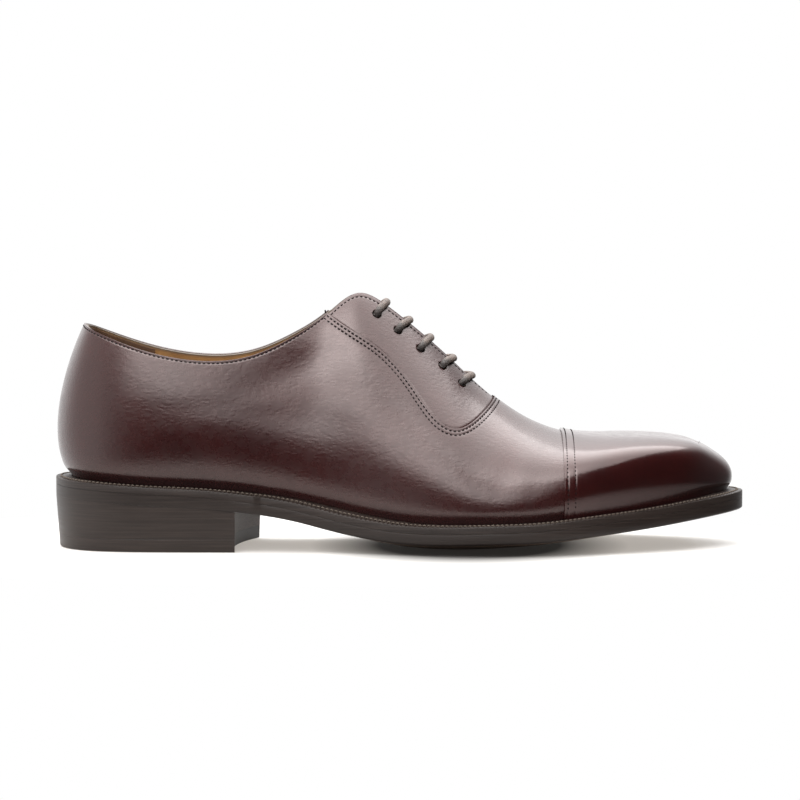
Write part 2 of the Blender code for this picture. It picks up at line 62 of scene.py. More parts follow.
# Sole, one row for each section: place along the foot, half widths to each side, height of the lateral
# lower edge, how much higher the medial one is, how far the middle hangs below the edges, how far the
# welt stands out from the upper, and how much the welt slopes up to the upper.
SOLE_ROWS = table(
    "along lateral medial edge arch cup welt tilt",
    (0, 0, 0, 22.9, 0, 0, 5.8, 0.3),
    (3.7, 15.2, 15, 22.6, 0, 0, 5.4, 0.3),
    (13.5, 26, 25.4, 22.1, 0, 0, 4.6, 0.3),
    (28, 31.4, 30.4, 21.2, 0, 0, 4, 0.3),
    (46, 33.3, 31.8, 20.2, 0, 0, 3.6, 0.3),
    (66, 33.8, 31.8, 19.2, 0, 0, 3.6, 0.4),
    (86, 34.2, 30.8, 17, 0.2, 0, 3.8, 0.8),
    (105, 35.6, 29.6, 13.9, 1, 1, 4.2, 1.4),
    (122, 38.2, 29.6, 9.8, 2, 2, 4.8, 1.8),
    (138, 42, 31.8, 6.7, 2.4, 3.2, 5, 1.6),
    (154, 46.2, 36.4, 4.8, 1.6, 4.4, 5, 1),
    (172, 50.2, 43, 4.5, 0.6, 5.4, 5, 0.5),
    (192, 52.6, 49.2, 5.1, 0.1, 5.6, 5.2, 0.3),
    (212, 51.6, 52, 5.8, 0, 4.6, 5.2, 0.3),
    (230, 47.8, 51.6, 7.5, 0, 3.9, 5.3, 0.3),
    (248, 41.4, 48.8, 9.3, 0, 3.1, 5.4, 0.3),
    (265, 33, 43.8, 11.1, 0, 2.2, 5.5, 0.3),
    (280, 24.4, 37.6, 13.1, 0, 1.3, 5.9, 0.3),
    (292, 15, 30.2, 14.6, 0, 0.7, 6.6, 0.3),
    (300.5, 5.2, 20.4, 15.6, 0, 0.3, 7, 0.4),
    (304.4, -7.2, 7.2, 15.9, 0, 0, 7.2, 0.4),
)

# Upper, one row for each section: the collar, slit edge or ridge that ends the wall (its place along
# the foot, height, line of symmetry and half opening), how far the wall swells out and up as it leaves
# the welt, and how far out and down it lies before it reaches the top.
UPPER_ROWS = table(
    "along height ridge opening flare rise reach drop",
    (12.8, 98.4, 0, 0, 10, 14.5, 11.2, 23.4),
    (14.6, 97.4, 0, 10.4, 9.5, 14.5, 10, 23),
    (21.5, 94.4, 0, 18.6, 8.5, 14, 8.5, 22),
    (33, 90, 0, 23.8, 7.5, 14, 7.5, 21),
    (48.5, 85.6, 0, 26.4, 7, 15, 7.5, 20),
    (67.5, 83.2, 0, 26.8, 6.5, 15, 8, 20),
    (87, 85.4, 0, 24.6, 6.5, 16, 9, 22),
    (105, 93.2, 0.5, 19.6, 7, 19, 11, 23),
    (119.5, 102.9, 1, 12, 8, 22, 14, 20),
    (133.7, 112.4, 1.5, 5.4, 8.5, 25, 15, 13),
    (150, 104.4, 2, 4.2, 8.5, 25, 14.5, 8),
    (170.5, 87.4, 2.5, 3.2, 8, 23, 17, 5),
    (191.5, 68, 3, 1.2, 7, 20, 21, 1.5),
    (212, 54.4, 3.5, 0, 6, 22, 31, 0),
    (231, 48.7, 4.2, 0, 5.5, 26.5, 38, 0),
    (248.5, 48, 5, 0, 5, 28.5, 38.5, 0),
    (263.5, 47.6, 5.8, 0, 4.8, 27.5, 33.5, 0),
    (274, 46.5, 6.5, 0, 4.6, 24, 25.5, 0),
    (280, 45.2, 7, 0, 4.4, 16.5, 16.5, 0),
    (283.4, 44.3, 7.2, 0, 4.3, 10, 12.2, 0),
    (284.5, 43.9, 7.2, 0, 4.3, 8.5, 11.4, 0),
)
TOE_TIP = len(SOLE_ROWS) - 1
TIP_TURN, TIP_SLOPE = 17.8, -0.49
ROW_STEP = 0.0001
HALVINGS = 40
LEVEL_STEPS, LEVEL_CROWDING, HEIGHT_STEPS = 121, 1.5, 61

# Facing seam seen from the side, from above the collar round the foot of the U to past the vamp point.
SEAM = table(
    "along height",
    (117, 106.3),
    (120, 103.7),
    (142, 89),
    (157, 73.3),
    (166, 60.8),
    (176.5, 54),
    (186.5, 58.4),
    (194, 65.6),
    (196, 68),
)
SEAM_REACH = 6.0
SEAM_CROWDING = 1.6
COLLAR_ROWS, VAMP_ROWS = (7, 9), (11, 13)
SLIT_NARROWS, SLIT_CLOSES = 11.2, 12.05
LEAST_LEVEL = 0.2

LEATHER = 0.8
LINING_WALL, FACING_LINING_WALL = 1.15, 0.55
LINING_BELOW = 0.2
LINING_SLIT_LEVEL = 0.958
FACING_STEP = 0.8
FACING_SLIT_LEVEL = 0.988
TONGUE_WALL = 1.6
TONGUE_TOP, TONGUE_FRONT = 9.12, 11.9
TONGUE_DEPTH, TONGUE_PRESSED = 2.7, 1.2
CAP_ALONG = 223.4
CAP_RAISED, CAP_HEM_RAISED = 1.1, 0.35

OUTSOLE_THICK = 4.8
WELT_THICK = 3.0
WELT_UNDER = 3.5
INSOLE_THICK = 4.2
SOLE_EDGE = OUTSOLE_THICK + GAP + WELT_THICK
SEAT_PROUD = 1.0
SEAT_END, SEAT_FADE = 92.0, 4.0

TOP_LIFT = 5.5
HEEL_ROWS = (3.0, 6.6)
HEEL_TAPER = 0.965
HEEL_CENTRE = 46.0
BREAST_LATERAL, BREAST_MEDIAL = 80.0, 90.5
BREAST_HALF_WIDTH = 33.0
BREAST_HOLLOW = 5.0

# Eyelets of one facing from the top down: place along the foot, depth below the slit seen from the
# side, and where the lace from it crosses the slit.
EYELETS = table(
    "along below crossing",
    (142.4, 6.6, 146.4),
    (151.7, 6.9, 156.6),
    (161.7, 6.9, 165.9),
    (171.4, 6, 176),
    (180, 5.6, 184.2),
)
EYELET_RADIUS = 2.2
EYELET_ROWS = (8, 13)
LACE_RADIUS = 1.5
LACE_DIP = 1.8
LACE_RIDE = 0.5
# Lace over one facing: share of the way from eyelet to slit, and height over the wall's own face.
LACE_HALF = table(
    "share height",
    (0, -LACE_DIP),
    (0, -0.3),
    (0.12, LACE_RIDE),
    (0.4, LACE_RIDE),
    (0.85, LACE_RIDE),
)
LACE_CROWN = 0.15


# The last


class Spline:
    """Cubic curve through one value at each knot, level at both ends or free to slope there."""

    def __init__(self, knots, values, level=True):
        self.knots = np.array(knots, float)
        self.values = np.array(values, float)
        gaps = np.diff(self.knots)
        slopes = np.diff(self.values) / gaps
        count = len(knots)
        system = np.identity(count)
        bend = np.zeros(count)
        for i in range(1, count - 1):
            system[i, i - 1:i + 2] = gaps[i - 1], 2 * (gaps[i - 1] + gaps[i]), gaps[i]
            bend[i] = 6 * (slopes[i] - slopes[i - 1])
        if level:
            system[0, :2] = 2 * gaps[0], gaps[0]
            system[-1, -2:] = gaps[-1], 2 * gaps[-1]
            bend[0] = 6 * slopes[0]
            bend[-1] = -6 * slopes[-1]
        self.bend = np.linalg.solve(system, bend)

    def __call__(self, at):
        i = np.clip(np.searchsorted(self.knots, at, side="right") - 1, 0, len(self.knots) - 2)
        gap = self.knots[i + 1] - self.knots[i]
        after = (at - self.knots[i]) / gap
        before = 1 - after
        curve = (before ** 3 - before) * self.bend[i] + (after ** 3 - after) * self.bend[i + 1]
        return before * self.values[i] + after * self.values[i + 1] + curve * gap ** 2 / 6


def curves(rows):
    """Each column of a section table as a curve along the foot."""
    columns = zip(rows[0]._fields, zip(*rows))
    return SimpleNamespace(**{name: Spline(range(len(rows)), values) for name, values in columns})


sole = curves(SOLE_ROWS)
upper = curves(UPPER_ROWS)
swing = Spline(range(TOE_TIP + 1), [(row.medial - row.lateral) / 2 for row in SOLE_ROWS])
half_widths = [(row.medial + row.lateral) / 2 for row in SOLE_ROWS]
half_width = Spline(range(TOE_TIP + 1), half_widths, level=False)
seam_height = Spline(*zip(*SEAM), level=False)


def ease(low, high, at):
    """Smooth step from 0 at low to 1 at high."""
    share = np.clip((at - low) / (high - low), 0.0, 1.0)
    return share * share * (3 - 2 * share)


def bell(at, middle, width):
    """Soft hump of height 1."""
    return np.exp(-((at - middle) / width) ** 2)


def solve(function, low, high):
    """Where a rising function crosses zero, for whole arrays of bounds at once."""
    for _ in range(HALVINGS):
        middle = (low + high) / 2
        below = function(middle) < 0
        low, high = np.where(below, middle, low), np.where(below, high, middle)
    return (low + high) / 2


def unit(vectors):
    """Vectors of length 1."""
    return vectors / np.linalg.norm(vectors, axis=-1, keepdims=True)


def lengths(points):
    """Distance along lines of points, from the start of each."""
    steps = np.linalg.norm(np.diff(points, axis=-2), axis=-1)
    return np.concatenate((np.zeros_like(steps[..., :1]), np.cumsum(steps, axis=-1)), axis=-1)


def upright(height):
    """Vectors straight up."""
    return np.stack((np.zeros_like(height), np.zeros_like(height), height), axis=-1)


def at_height(plan, height):
    """Plan points at heights."""
    return np.concatenate((plan, height[..., None]), axis=-1)


def moved(points, way, distance):
    """Points moved some distances along directions."""
    return points + way * np.asarray(distance)[..., None]


def joined(first, *others):
    """Stretches of numbers one after another, each without the start that it shares."""
    return np.concatenate((first, *(stretch[1:] for stretch in others)))


def along_line(at, run, vectors):
    """Vectors between those of a line, at some distances along it."""
    return np.stack([np.interp(at, run, part) for part in vectors.T], axis=-1)


def beside(row):
    """Sections just in front of others and just behind them."""
    return np.minimum(row + ROW_STEP, TOE_TIP), np.maximum(row - ROW_STEP, 0)


def edge_point(row, side):
    """Plan point on the sole's edge, without the proud heel seat."""
    return np.stack((sole.along(row), swing(row) + side * half_width(row)), axis=-1)


def edge_normal(row, side):
    """Outward plan direction of the sole's edge."""
    fore, aft = beside(row)
    run = unit(edge_point(fore, side) - edge_point(aft, side))
    return np.asarray(side)[..., None] * np.stack((-run[..., 1], run[..., 0]), axis=-1)


def inset_point(row, side, inset):
    """Plan point a distance inside the sole's edge."""
    return moved(edge_point(row, side), -edge_normal(row, side), inset)


def outer_point(row, side, inset=0.0):
    """Plan point on the sole's edge, whose heel seat stands a little proud of the waist."""
    seat = 1 - ease(SEAT_END - SEAT_FADE, SEAT_END, sole.along(row))
    normal = edge_normal(row, side)
    proud = SEAT_PROUD * seat * normal[..., 1] ** 2 - inset
    return moved(edge_point(row, side), normal, proud)


def row_at(along):
    """Section whose sole edge lies at a place along the foot."""
    low = np.zeros_like(along)
    return solve(lambda row: sole.along(row) - along, low, low + TOE_TIP)


def tread_across(row, across):
    """Height of the sole's underside, -1 across being the lateral edge and 1 the medial one."""
    return sole.edge(row) + sole.arch(row) * (1 + across) / 2 - sole.cup(row) * (1 - across ** 2)


def across_sole(plan):
    """Sections of plan points, and their places between the lateral edge at -1 and the medial one at 1."""
    row = row_at(plan[..., 0])
    return row, np.clip((plan[..., 1] - swing(row)) / np.maximum(half_width(row), 1.0), -1.0, 1.0)


def tread(plan):
    """Height of the sole's underside at plan points, before the floor flattens the ball."""
    return tread_across(*across_sole(plan))


def top_point(row, side):
    """Collar, slit edge or ridge at a section."""
    opening = upper.opening(row) * (1 - ease(SLIT_NARROWS, SLIT_CLOSES, row))
    across = upper.ridge(row) + side * opening
    return np.stack((upper.along(row), across, upper.height(row)), axis=-1)


def ridge_slope(row):
    """Rise of the ridge per unit along the foot, steadied where sections turn round the toe's tip."""
    fore, aft = beside(row)
    climb = upper.height(fore) - upper.height(aft)
    slope = climb / (upper.along(fore) - upper.along(aft))
    return slope + (TIP_SLOPE - slope) * ease(TIP_TURN, TOE_TIP, row)


def wall(row, side, level):
    """Points on the upper's outer face: level 0 is at the welt and 1 at the top."""
    row, side, level = np.broadcast_arrays(row, side, level)
    plan_normal = edge_normal(row, side)
    normal = at_height(plan_normal, np.zeros_like(plan_normal[..., 0]))
    height = tread_across(row, side) + SOLE_EDGE + sole.tilt(row) + GAP
    foot = at_height(moved(edge_point(row, side), -plan_normal, sole.welt(row)), height)
    top = top_point(row, side)
    reach = upper.reach(row)
    follow = ease(*VAMP_ROWS, row) * ridge_slope(row) * normal[..., 0] * reach
    swell = moved(foot, normal, upper.flare(row)) + upright(upper.rise(row))
    shoulder = moved(top, normal, reach) + upright(follow - upper.drop(row))
    level = level[..., None]
    below = 1 - level
    return (below ** 3 * foot + 3 * below ** 2 * level * swell
            + 3 * below * level ** 2 * shoulder + level ** 3 * top)


def wall_normal(row, side, level):
    """Outward directions of the upper's face."""
    row, side, level = np.broadcast_arrays(row, side, level)
    low, high = np.maximum(level - ROW_STEP, 0), np.minimum(level + ROW_STEP, 1)
    fore, aft = beside(row)
    along = wall(fore, side, level) - wall(aft, side, level)
    up = wall(row, side, high) - wall(row, side, low)
    return unit(np.cross(along, up) * -side[..., None])


def seam_depth(points):
    """How far points lie below the facing seam, square to it and seen from the side."""
    x = np.clip(points[..., 0], SEAM[0].along, SEAM[-1].along + SEAM_REACH)
    slope = (seam_height(x + ROW_STEP) - seam_height(x - ROW_STEP)) / (2 * ROW_STEP)
    return (seam_height(x) - points[..., 2]) / np.hypot(1, slope)


def seam_level(row, side, depth=0.0):
    """How far up the wall a line runs that keeps a depth below the facing seam."""
    low = np.full(np.shape(row), LEAST_LEVEL)
    return solve(lambda level: depth - seam_depth(wall(row, side, level)), low, np.ones_like(low))


def seam_ends(side, depth=0.0):
    """Sections where such a line leaves the collar and where it reaches the ridge."""
    collar = solve(lambda row: depth - seam_depth(wall(row, side, 1.0)), *map(float, COLLAR_ROWS))
    vamp = solve(lambda row: seam_depth(wall(row, side, 1.0)) - depth, *map(float, VAMP_ROWS))
    return float(collar), float(vamp)


COLLAR_END, VAMP_POINT = seam_ends(LATERAL)
CAP_ROW = float(solve(lambda row: upper.along(row) - CAP_ALONG, VAMP_POINT, float(TOE_TIP)))


def crowded(start, end, count):
    """Sections that lie closer together towards the end."""
    return end - (end - start) * np.linspace(1, 0, count) ** SEAM_CROWDING


def levels_below(row, side, top, depth):
    """Levels that lie some depths down the wall from a top level, one line of them for each section."""
    levels = top[:, None] * (1 - np.linspace(0, 1, LEVEL_STEPS) ** LEVEL_CROWDING)
    run = lengths(wall(row[:, None], side[:, None], levels))
    return np.array([np.interp(*line) for line in zip(depth, run, levels)])


def level_below(row, side, depth, top=1.0):
    """Level of a line that keeps one depth down the wall from a top level."""
    return levels_below(row, side, np.full(len(row), top), np.full((len(row), 1), depth))[:, 0]


def wall_height(row, side, top):
    """Length of the wall from the welt to a top level."""
    levels = top[:, None] * np.linspace(0, 1, HEIGHT_STEPS)
    return lengths(wall(row[:, None], side[:, None], levels))[:, -1]


def leather_top(row, side):
    """Level where the vamp and quarters end: the collar, the facing seam or the ridge."""
    inside = (COLLAR_END < row) & (row < VAMP_POINT)
    return np.where(inside, seam_level(row, side), 1.0)


# Meshes

BEVEL_ANGLE = math.radians(50)
outline_rows = np.linspace(0, TOE_TIP, 45)
outline = np.concatenate([outer_point(outline_rows, side) for side in SIDES.values()])
CENTRE = np.append((outline.min(axis=0) + outline.max(axis=0)) / 2, 0.0)


def in_frame(points):
    """Points of the shoe in the part's own frame, in metres."""
    return ((np.asarray(points) - CENTRE) * MM).astype(np.float32)


def select_only(obj):
    """Make an object the one that operators work on."""
    bpy.ops.object.select_all(action="DESELECT")
    obj.select_set(True)
    bpy.context.view_layer.objects.active = obj


def bent_grid(name, points, **shares):
    """A flat grid bent so that each vertex lies on a point, with shares from 0 to 1 kept on the vertices."""
    columns, rows = points.shape[:2]
    bpy.ops.object.select_all(action="DESELECT")
    bpy.ops.mesh.primitive_grid_add(x_subdivisions=columns - 1, y_subdivisions=rows - 1, size=2)
    obj = bpy.context.object
    obj.name = obj.data.name = name
    flat = np.empty(len(obj.data.vertices) * 3, np.float32)
    obj.data.vertices.foreach_get("co", flat)
    i = np.rint((flat[0::3] + 1) / 2 * (columns - 1)).astype(int)
    j = np.rint((flat[1::3] + 1) / 2 * (rows - 1)).astype(int)
    obj.data.vertices.foreach_set("co", in_frame(points[i, j]).ravel())
    for word, share in shares.items():
        kept = obj.data.attributes.new(word, "FLOAT", "POINT")
        kept.data.foreach_set("value", share[i, j].astype(np.float32))
    obj.data.update()
    return obj


def weld(obj, fill=False, outward=False, reach=WELD):
    """Close the seams and poles of a mesh, fill its open ends and turn its faces out."""
    select_only(obj)
    bpy.ops.object.mode_set(mode="EDIT")
    bpy.ops.mesh.select_all(action="SELECT")
    bpy.ops.mesh.remove_doubles(threshold=reach * MM)
    bpy.ops.mesh.select_all(action="SELECT")
    bpy.ops.mesh.dissolve_degenerate(threshold=reach * MM / 2)
    if fill:
        bpy.ops.mesh.select_all(action="DESELECT")
        bpy.ops.mesh.select_mode(type="EDGE")
        bpy.ops.mesh.select_non_manifold()
        bpy.ops.mesh.edge_face_add()
    if outward:
        bpy.ops.mesh.select_all(action="SELECT")
        bpy.ops.mesh.normals_make_consistent(inside=False)
    bpy.ops.object.mode_set(mode="OBJECT")


def apply(obj, kind, **settings):
    """Shape a piece with a modifier and keep the result."""
    select_only(obj)
    modifier = obj.modifiers.new(kind.lower(), kind)
    for name, value in settings.items():
        setattr(modifier, name, value)
    bpy.ops.object.modifier_apply(modifier=modifier.name)


def soften(obj, rounding):
    """Round the sharp edges of a piece."""
    apply(obj, "BEVEL", width=rounding * MM, segments=2, limit_method="ANGLE", angle_limit=BEVEL_ANGLE)


def thicken(obj, thickness, rounding=0.0):
    """Give a skin a wall towards the foot, with its cut edges rounded or left sharp."""
    apply(obj, "SOLIDIFY", thickness=thickness * MM, offset=-1.0)
    if rounding:
        soften(obj, rounding)


def dress(obj, finish, replaced=(), crease=35):
    """Finish a piece: its material, its place on the shoe and the solids that it stands for."""
    select_only(obj)
    bpy.ops.object.shade_smooth_by_angle(angle=math.radians(crease))
    obj.data.materials.clear()
    for material in finish if isinstance(finish, tuple) else (finish,):
        obj.data.materials.append(material)
    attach(obj, "root")
    if replaced:
        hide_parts(*replaced)


def repaint(obj, chosen):
    """Give some faces of a piece its second material."""
    for face in obj.data.polygons:
        if chosen(face):
            face.material_index = 1


# Materials


class Value:
    """Socket in a node tree, so that sums on values are written as sums."""

    def __init__(self, nodes, socket):
        self.nodes = nodes
        self.socket = socket

    def maths(self, operation, first, second):
        return self.nodes.node("ShaderNodeMath", {0: first, 1: second}, operation=operation)

    def __add__(self, other):
        return self.maths("ADD", self, other)

    def __sub__(self, other):
        return self.maths("SUBTRACT", self, other)

    def __rsub__(self, other):
        return self.maths("SUBTRACT", other, self)

    def __mul__(self, other):
        return self.maths("MULTIPLY", self, other)

    def __pow__(self, other):
        return self.maths("POWER", self, other)

    __radd__ = __add__
    __rmul__ = __mul__


class Nodes:
    """Nodes of one tree."""

    def __init__(self, tree):
        self.tree = tree

    def put(self, socket, value):
        """Link a socket, or set its value; a colour needs no fourth number."""
        if isinstance(value, Value):
            self.tree.links.new(value.socket, socket)
        elif socket.type == "RGBA":
            socket.default_value = (*value, 1.0)
        else:
            socket.default_value = value

    def node(self, kind, sockets=None, out=0, **settings):
        """One of the outputs of any node, made with values or links for its sockets and with settings."""
        node = self.tree.nodes.new(kind)
        for name, value in settings.items():
            setattr(node, name, value)
        for name, value in (sockets or {}).items():
            self.put(node.inputs[name], value)
        return Value(self, node.outputs[out])

    def ramp(self, value, low, high):
        """Value stretched so that low becomes 0 and high 1."""
        sockets = {"Value": value, "From Min": low, "From Max": high}
        return self.node("ShaderNodeMapRange", sockets, clamp=True)


class Finish(Nodes):
    """Material with one shader and the nodes that feed it."""

    def __init__(self, name):
        self.material = bpy.data.materials.new(name)
        self.material.use_nodes = True
        super().__init__(self.material.node_tree)

    def place(self, stretch=(1, 1, 1), shift=(0, 0, 0)):
        """Place on the shoe, drawn out along some axes and then shifted."""
        spot = self.node("ShaderNodeTexCoord", out=3)
        return self.node("ShaderNodeMapping", {"Vector": spot, "Scale": stretch, "Location": shift})

    def noise(self, size, detail, stretch=(1, 1, 1)):
        """Cloudy value from 0 to 1 with lumps of a size in millimetres."""
        sockets = {"Vector": self.place(stretch), "Scale": 1 / (size * MM), "Detail": detail}
        return self.node("ShaderNodeTexNoise", sockets)

    def cells(self, size, feature="F1"):
        """Distance within cells of a size in millimetres."""
        sockets = {"Vector": self.place(), "Scale": 1 / (size * MM)}
        return self.node("ShaderNodeTexVoronoi", sockets, feature=feature)

    def vertex_share(self, name):
        """Share from 0 to 1 kept on the vertices of a piece."""
        return self.node("ShaderNodeAttribute", out=2, attribute_name=name)

    def mix(self, share, first, second):
        """Colour between two colours."""
        return self.node("ShaderNodeMix", {0: share, 6: first, 7: second}, out=2, data_type="RGBA")

    def bump(self, height, depth):
        """Surface direction bent by a height of a depth in millimetres."""
        return self.node("ShaderNodeBump", {"Height": height, "Distance": depth * MM, "Strength": 1.0})

    def surface(self, **sockets):
        """The material, with values or links for the sockets of its shader."""
        shader = self.tree.nodes["Principled BSDF"]
        for name, value in sockets.items():
            self.put(shader.inputs[name.replace("_", " ")], value)
        return self.material


def calf(name, grain, gloss, coat):
    """Dyed calf: deep burgundy brown with a cloudy patina, fine pores and a waxed shine."""
    finish = Finish(name)
    cloud = finish.ramp(finish.noise(26, 3), 0.3, 0.7)
    mottle = finish.ramp(finish.noise(3.2, 3), 0.3, 0.75)
    colour = finish.mix(cloud * 0.7, (0.016, 0.0030, 0.0031), (0.028, 0.0056, 0.0052))
    colour = finish.mix(mottle * 0.35, colour, (0.009, 0.0021, 0.0022))
    pores = finish.cells(0.55, "SMOOTH_F1")
    lumps = finish.noise(1.1, 4, (0.45, 1, 1))
    folds = finish.noise(10, 2, (0.6, 1, 1))
    height = lumps * 1.8 + pores * 0.25 + folds * 2.2
    return finish.surface(Base_Color=colour, Roughness=mottle * 0.08 + gloss, Coat_Weight=coat,
                          Coat_Roughness=0.16, Specular_Tint=(1.0, 0.85, 0.82),
                          Normal=finish.bump(height, grain))


def lining_leather(name, light, dark):
    """Undyed lining leather, matt, with pores and handling marks, its rim darkened by the edge dye."""
    finish = Finish(name)
    cloud = finish.ramp(finish.noise(14, 4), 0.3, 0.7)
    pores = finish.cells(0.7)
    height = pores * 0.6 + finish.noise(2.0, 3)
    colour = finish.mix(finish.vertex_share("rim"), finish.mix(cloud, light, dark), (0.070, 0.052, 0.038))
    return finish.surface(Base_Color=colour, Roughness=cloud * 0.15 + 0.55,
                          Normal=finish.bump(height, 0.10))


def waxed_edge(name, light, dark, streak=0.06, gloss=0.34):
    """Trimmed and waxed leather edge: brushed streaks along the sole."""
    finish = Finish(name)
    brushed = finish.noise(9, 4, (0.35, 0.35, 14))
    cloud = finish.ramp(finish.noise(18, 3), 0.3, 0.7)
    colour = finish.mix(finish.ramp(brushed, 0.35, 0.7), dark, light)
    return finish.surface(Base_Color=finish.mix(cloud * 0.4, colour, dark), Roughness=brushed * 0.2 + gloss,
                          Specular_IOR_Level=0.3, Normal=finish.bump(brushed, streak))


def raw_leather(name, light, dark):
    """Fibrous leather, cut or buffed."""
    finish = Finish(name)
    fibre = finish.noise(1.2, 5, (0.35, 0.35, 2.5))
    cloud = finish.noise(16, 3)
    colour = finish.mix(finish.ramp(fibre, 0.3, 0.7), dark, light)
    return finish.surface(Base_Color=finish.mix(finish.ramp(cloud, 0.4, 0.7) * 0.4, colour, dark),
                          Roughness=fibre * 0.2 + 0.5, Normal=finish.bump(fibre, 0.15))


def plain_rubber(name):
    """Smooth moulded rubber with a fine tooth."""
    finish = Finish(name)
    tooth = finish.noise(0.6, 3)
    colour = finish.mix(finish.noise(12, 3), (0.012, 0.010, 0.0095), (0.022, 0.019, 0.0175))
    return finish.surface(Base_Color=colour, Roughness=tooth * 0.15 + 0.5, Normal=finish.bump(tooth, 0.05))


def twisted_thread(name, light, dark):
    """Waxed thread, matt and unevenly dyed."""
    finish = Finish(name)
    twist = finish.noise(0.4, 2)
    return finish.surface(Base_Color=finish.mix(twist, dark, light), Roughness=twist * 0.2 + 0.7,
                          Specular_IOR_Level=0.15, Normal=finish.bump(twist, 0.06))


def woven_cotton(name):
    """Round waxed lace: pale and dark strands woven together, with painted shade darkening it near the
    eyelets.
    """
    finish = Finish(name)
    strands = finish.cells(0.55)
    speck = finish.noise(0.8, 3)
    woven = finish.ramp(speck + strands * 0.5, 0.5, 0.95)
    colour = finish.mix(woven, (0.014, 0.0095, 0.008), (0.125, 0.092, 0.076))
    # Painted shade: the lace is darkened within a few millimetres of the eyelets, where it dives into the
    # holes.
    colour = finish.mix(finish.vertex_share("rubbed") * 0.85, colour, (0.010, 0.006, 0.005))
    return finish.surface(Base_Color=colour, Roughness=strands * 0.2 + 0.55,
                          Normal=finish.bump(strands + speck, 0.12))


CALF = calf("calf", 0.06, 0.24, 0.2)
POLISHED_CALF = calf("polished_calf", 0.014, 0.16, 0.12)
TAN_LINING = lining_leather("tan_lining", (0.38, 0.215, 0.085), (0.27, 0.145, 0.055))
HEEL_GRIP = lining_leather("heel_grip_suede", (0.105, 0.056, 0.032), (0.060, 0.032, 0.019))
SOLE_EDGE_WAX = waxed_edge("sole_edge_wax", (0.021, 0.0140, 0.0112), (0.011, 0.0070, 0.0056))
WELT_WAX = waxed_edge("welt_wax", (0.024, 0.0160, 0.0130), (0.011, 0.0070, 0.0056))
HEEL_WAX = waxed_edge("heel_edge_wax", (0.027, 0.0182, 0.0148), (0.014, 0.0092, 0.0074))
SOLE_BOTTOM = raw_leather("sole_bottom_leather", (0.085, 0.048, 0.028), (0.050, 0.027, 0.016))
STACK_BREAST = raw_leather("stack_breast_leather", (0.105, 0.080, 0.070), (0.030, 0.022, 0.019))
RUBBER = plain_rubber("top_lift_rubber")
UPPER_THREAD = twisted_thread("upper_thread", (0.008, 0.0035, 0.0035), (0.003, 0.0015, 0.0015))
WELT_THREAD = twisted_thread("welt_thread", (0.13, 0.105, 0.085), (0.05, 0.038, 0.030))
LACE = woven_cotton("lace_cotton")


# Upper leather

STITCH_EDGE, COLLAR_STITCH = 1.75, 1.1
SEAM_STITCHES = (1.0, 2.6)
CAP_STITCHES = (1.5, 4.8)
GROOVE, GROOVE_WIDTH = 0.13, 0.42
CAP_BAND, CAP_CREST, CAP_WELD = 0.056, 0.985, 0.1
CAP_HEM_ENDS, CAP_CLEAR = 0.14, 0.1
FEATHER_TUCK, FEATHER_RISE = 0.9, 5.0
HEM_TUCK, HEM_DROP = 0.2, 0.6
EDGE_BAND = np.linspace(0, 4.0, 15)
COLLAR_FADE = 0.12

# Soft folds of the quarters and vamp seen from the side: middle, slant, half sizes and height.
FOLDS = table(
    "along height slant length width rise",
    (106, 80, 24, 27, 7.5, -0.55),
    (96, 66, -10, 20, 5, 0.25),
    (100, 60, -8, 24, 5.5, -0.22),
    (122, 66, -22, 18, 5, 0.22),
    (58, 62, 6, 18, 6, -0.18),
    (200, 40, 62, 16, 4, -0.14),
    (208, 38, 66, 15, 4, 0.12),
)


def fold_relief(points):
    """Height of the soft folds at points of the upper."""
    relief = np.zeros(points.shape[:-1])
    for fold in FOLDS:
        turn = math.radians(fold.slant)
        x, z = points[..., 0] - fold.along, points[..., 2] - fold.height
        run = x * math.cos(turn) + z * math.sin(turn)
        off = z * math.cos(turn) - x * math.sin(turn)
        relief += fold.rise * bell(run, 0, fold.length) * bell(off, 0, fold.width)
    return relief


def round_heel(half):
    """Sections and sides from the medial end of a stretch of sections round the heel to its lateral end."""
    side = np.concatenate((np.full(len(half) - 1, MEDIAL), np.full(len(half), LATERAL)))
    return np.concatenate((half[:0:-1], half)), side


def last_columns(quarter, throat, vamp, toe):
    """Sections and sides from the medial toe round the heel to the lateral toe."""
    return round_heel(joined(np.linspace(0, COLLAR_END, quarter), crowded(COLLAR_END, VAMP_POINT, throat),
                             np.linspace(VAMP_POINT, CAP_ROW, vamp), np.linspace(CAP_ROW, TOE_TIP, toe)))


def depths(height, band, count):
    """Depths below the top of a wall, from its foot up, with a band of close ones under the top."""
    rest = band[:, -1:] + (height - band[:, -1:]) * np.linspace(0, 1, count)[1:]
    return np.concatenate((band, rest), axis=1)[:, ::-1]


def groove(distance, *stitches):
    """Depth of the grooves of stitch rows, at distances counted across the rows."""
    return GROOVE * sum(bell(distance, stitch, GROOVE_WIDTH) for stitch in stitches)


def add_upper_leather():
    row, side = last_columns(quarter=90, throat=110, vamp=44, toe=40)
    top = leather_top(row, side)
    height = wall_height(row, side, top)[:, None]
    depth = depths(height, np.tile(EDGE_BAND, (len(row), 1)), 40)
    place = (row[:, None], side[:, None], levels_below(row, side, top, depth))
    points = wall(*place)
    on_collar = 1 - ease(COLLAR_END - COLLAR_FADE, COLLAR_END, place[0])
    relief = fold_relief(points) - FEATHER_TUCK * (1 - ease(0, FEATHER_RISE, height - depth))
    relief -= groove(seam_depth(points), *SEAM_STITCHES) + on_collar * groove(depth, COLLAR_STITCH)
    normal = wall_normal(*place)
    points = moved(points, normal, relief)
    hem = points[:, :1] - normal[:, :1] * HEM_TUCK - (0, 0, HEM_DROP)
    obj = bent_grid("upper_leather", np.concatenate((hem, points), axis=1))
    weld(obj)
    thicken(obj, LEATHER, rounding=0.28)
    dress(obj, CALF, ["upper"])


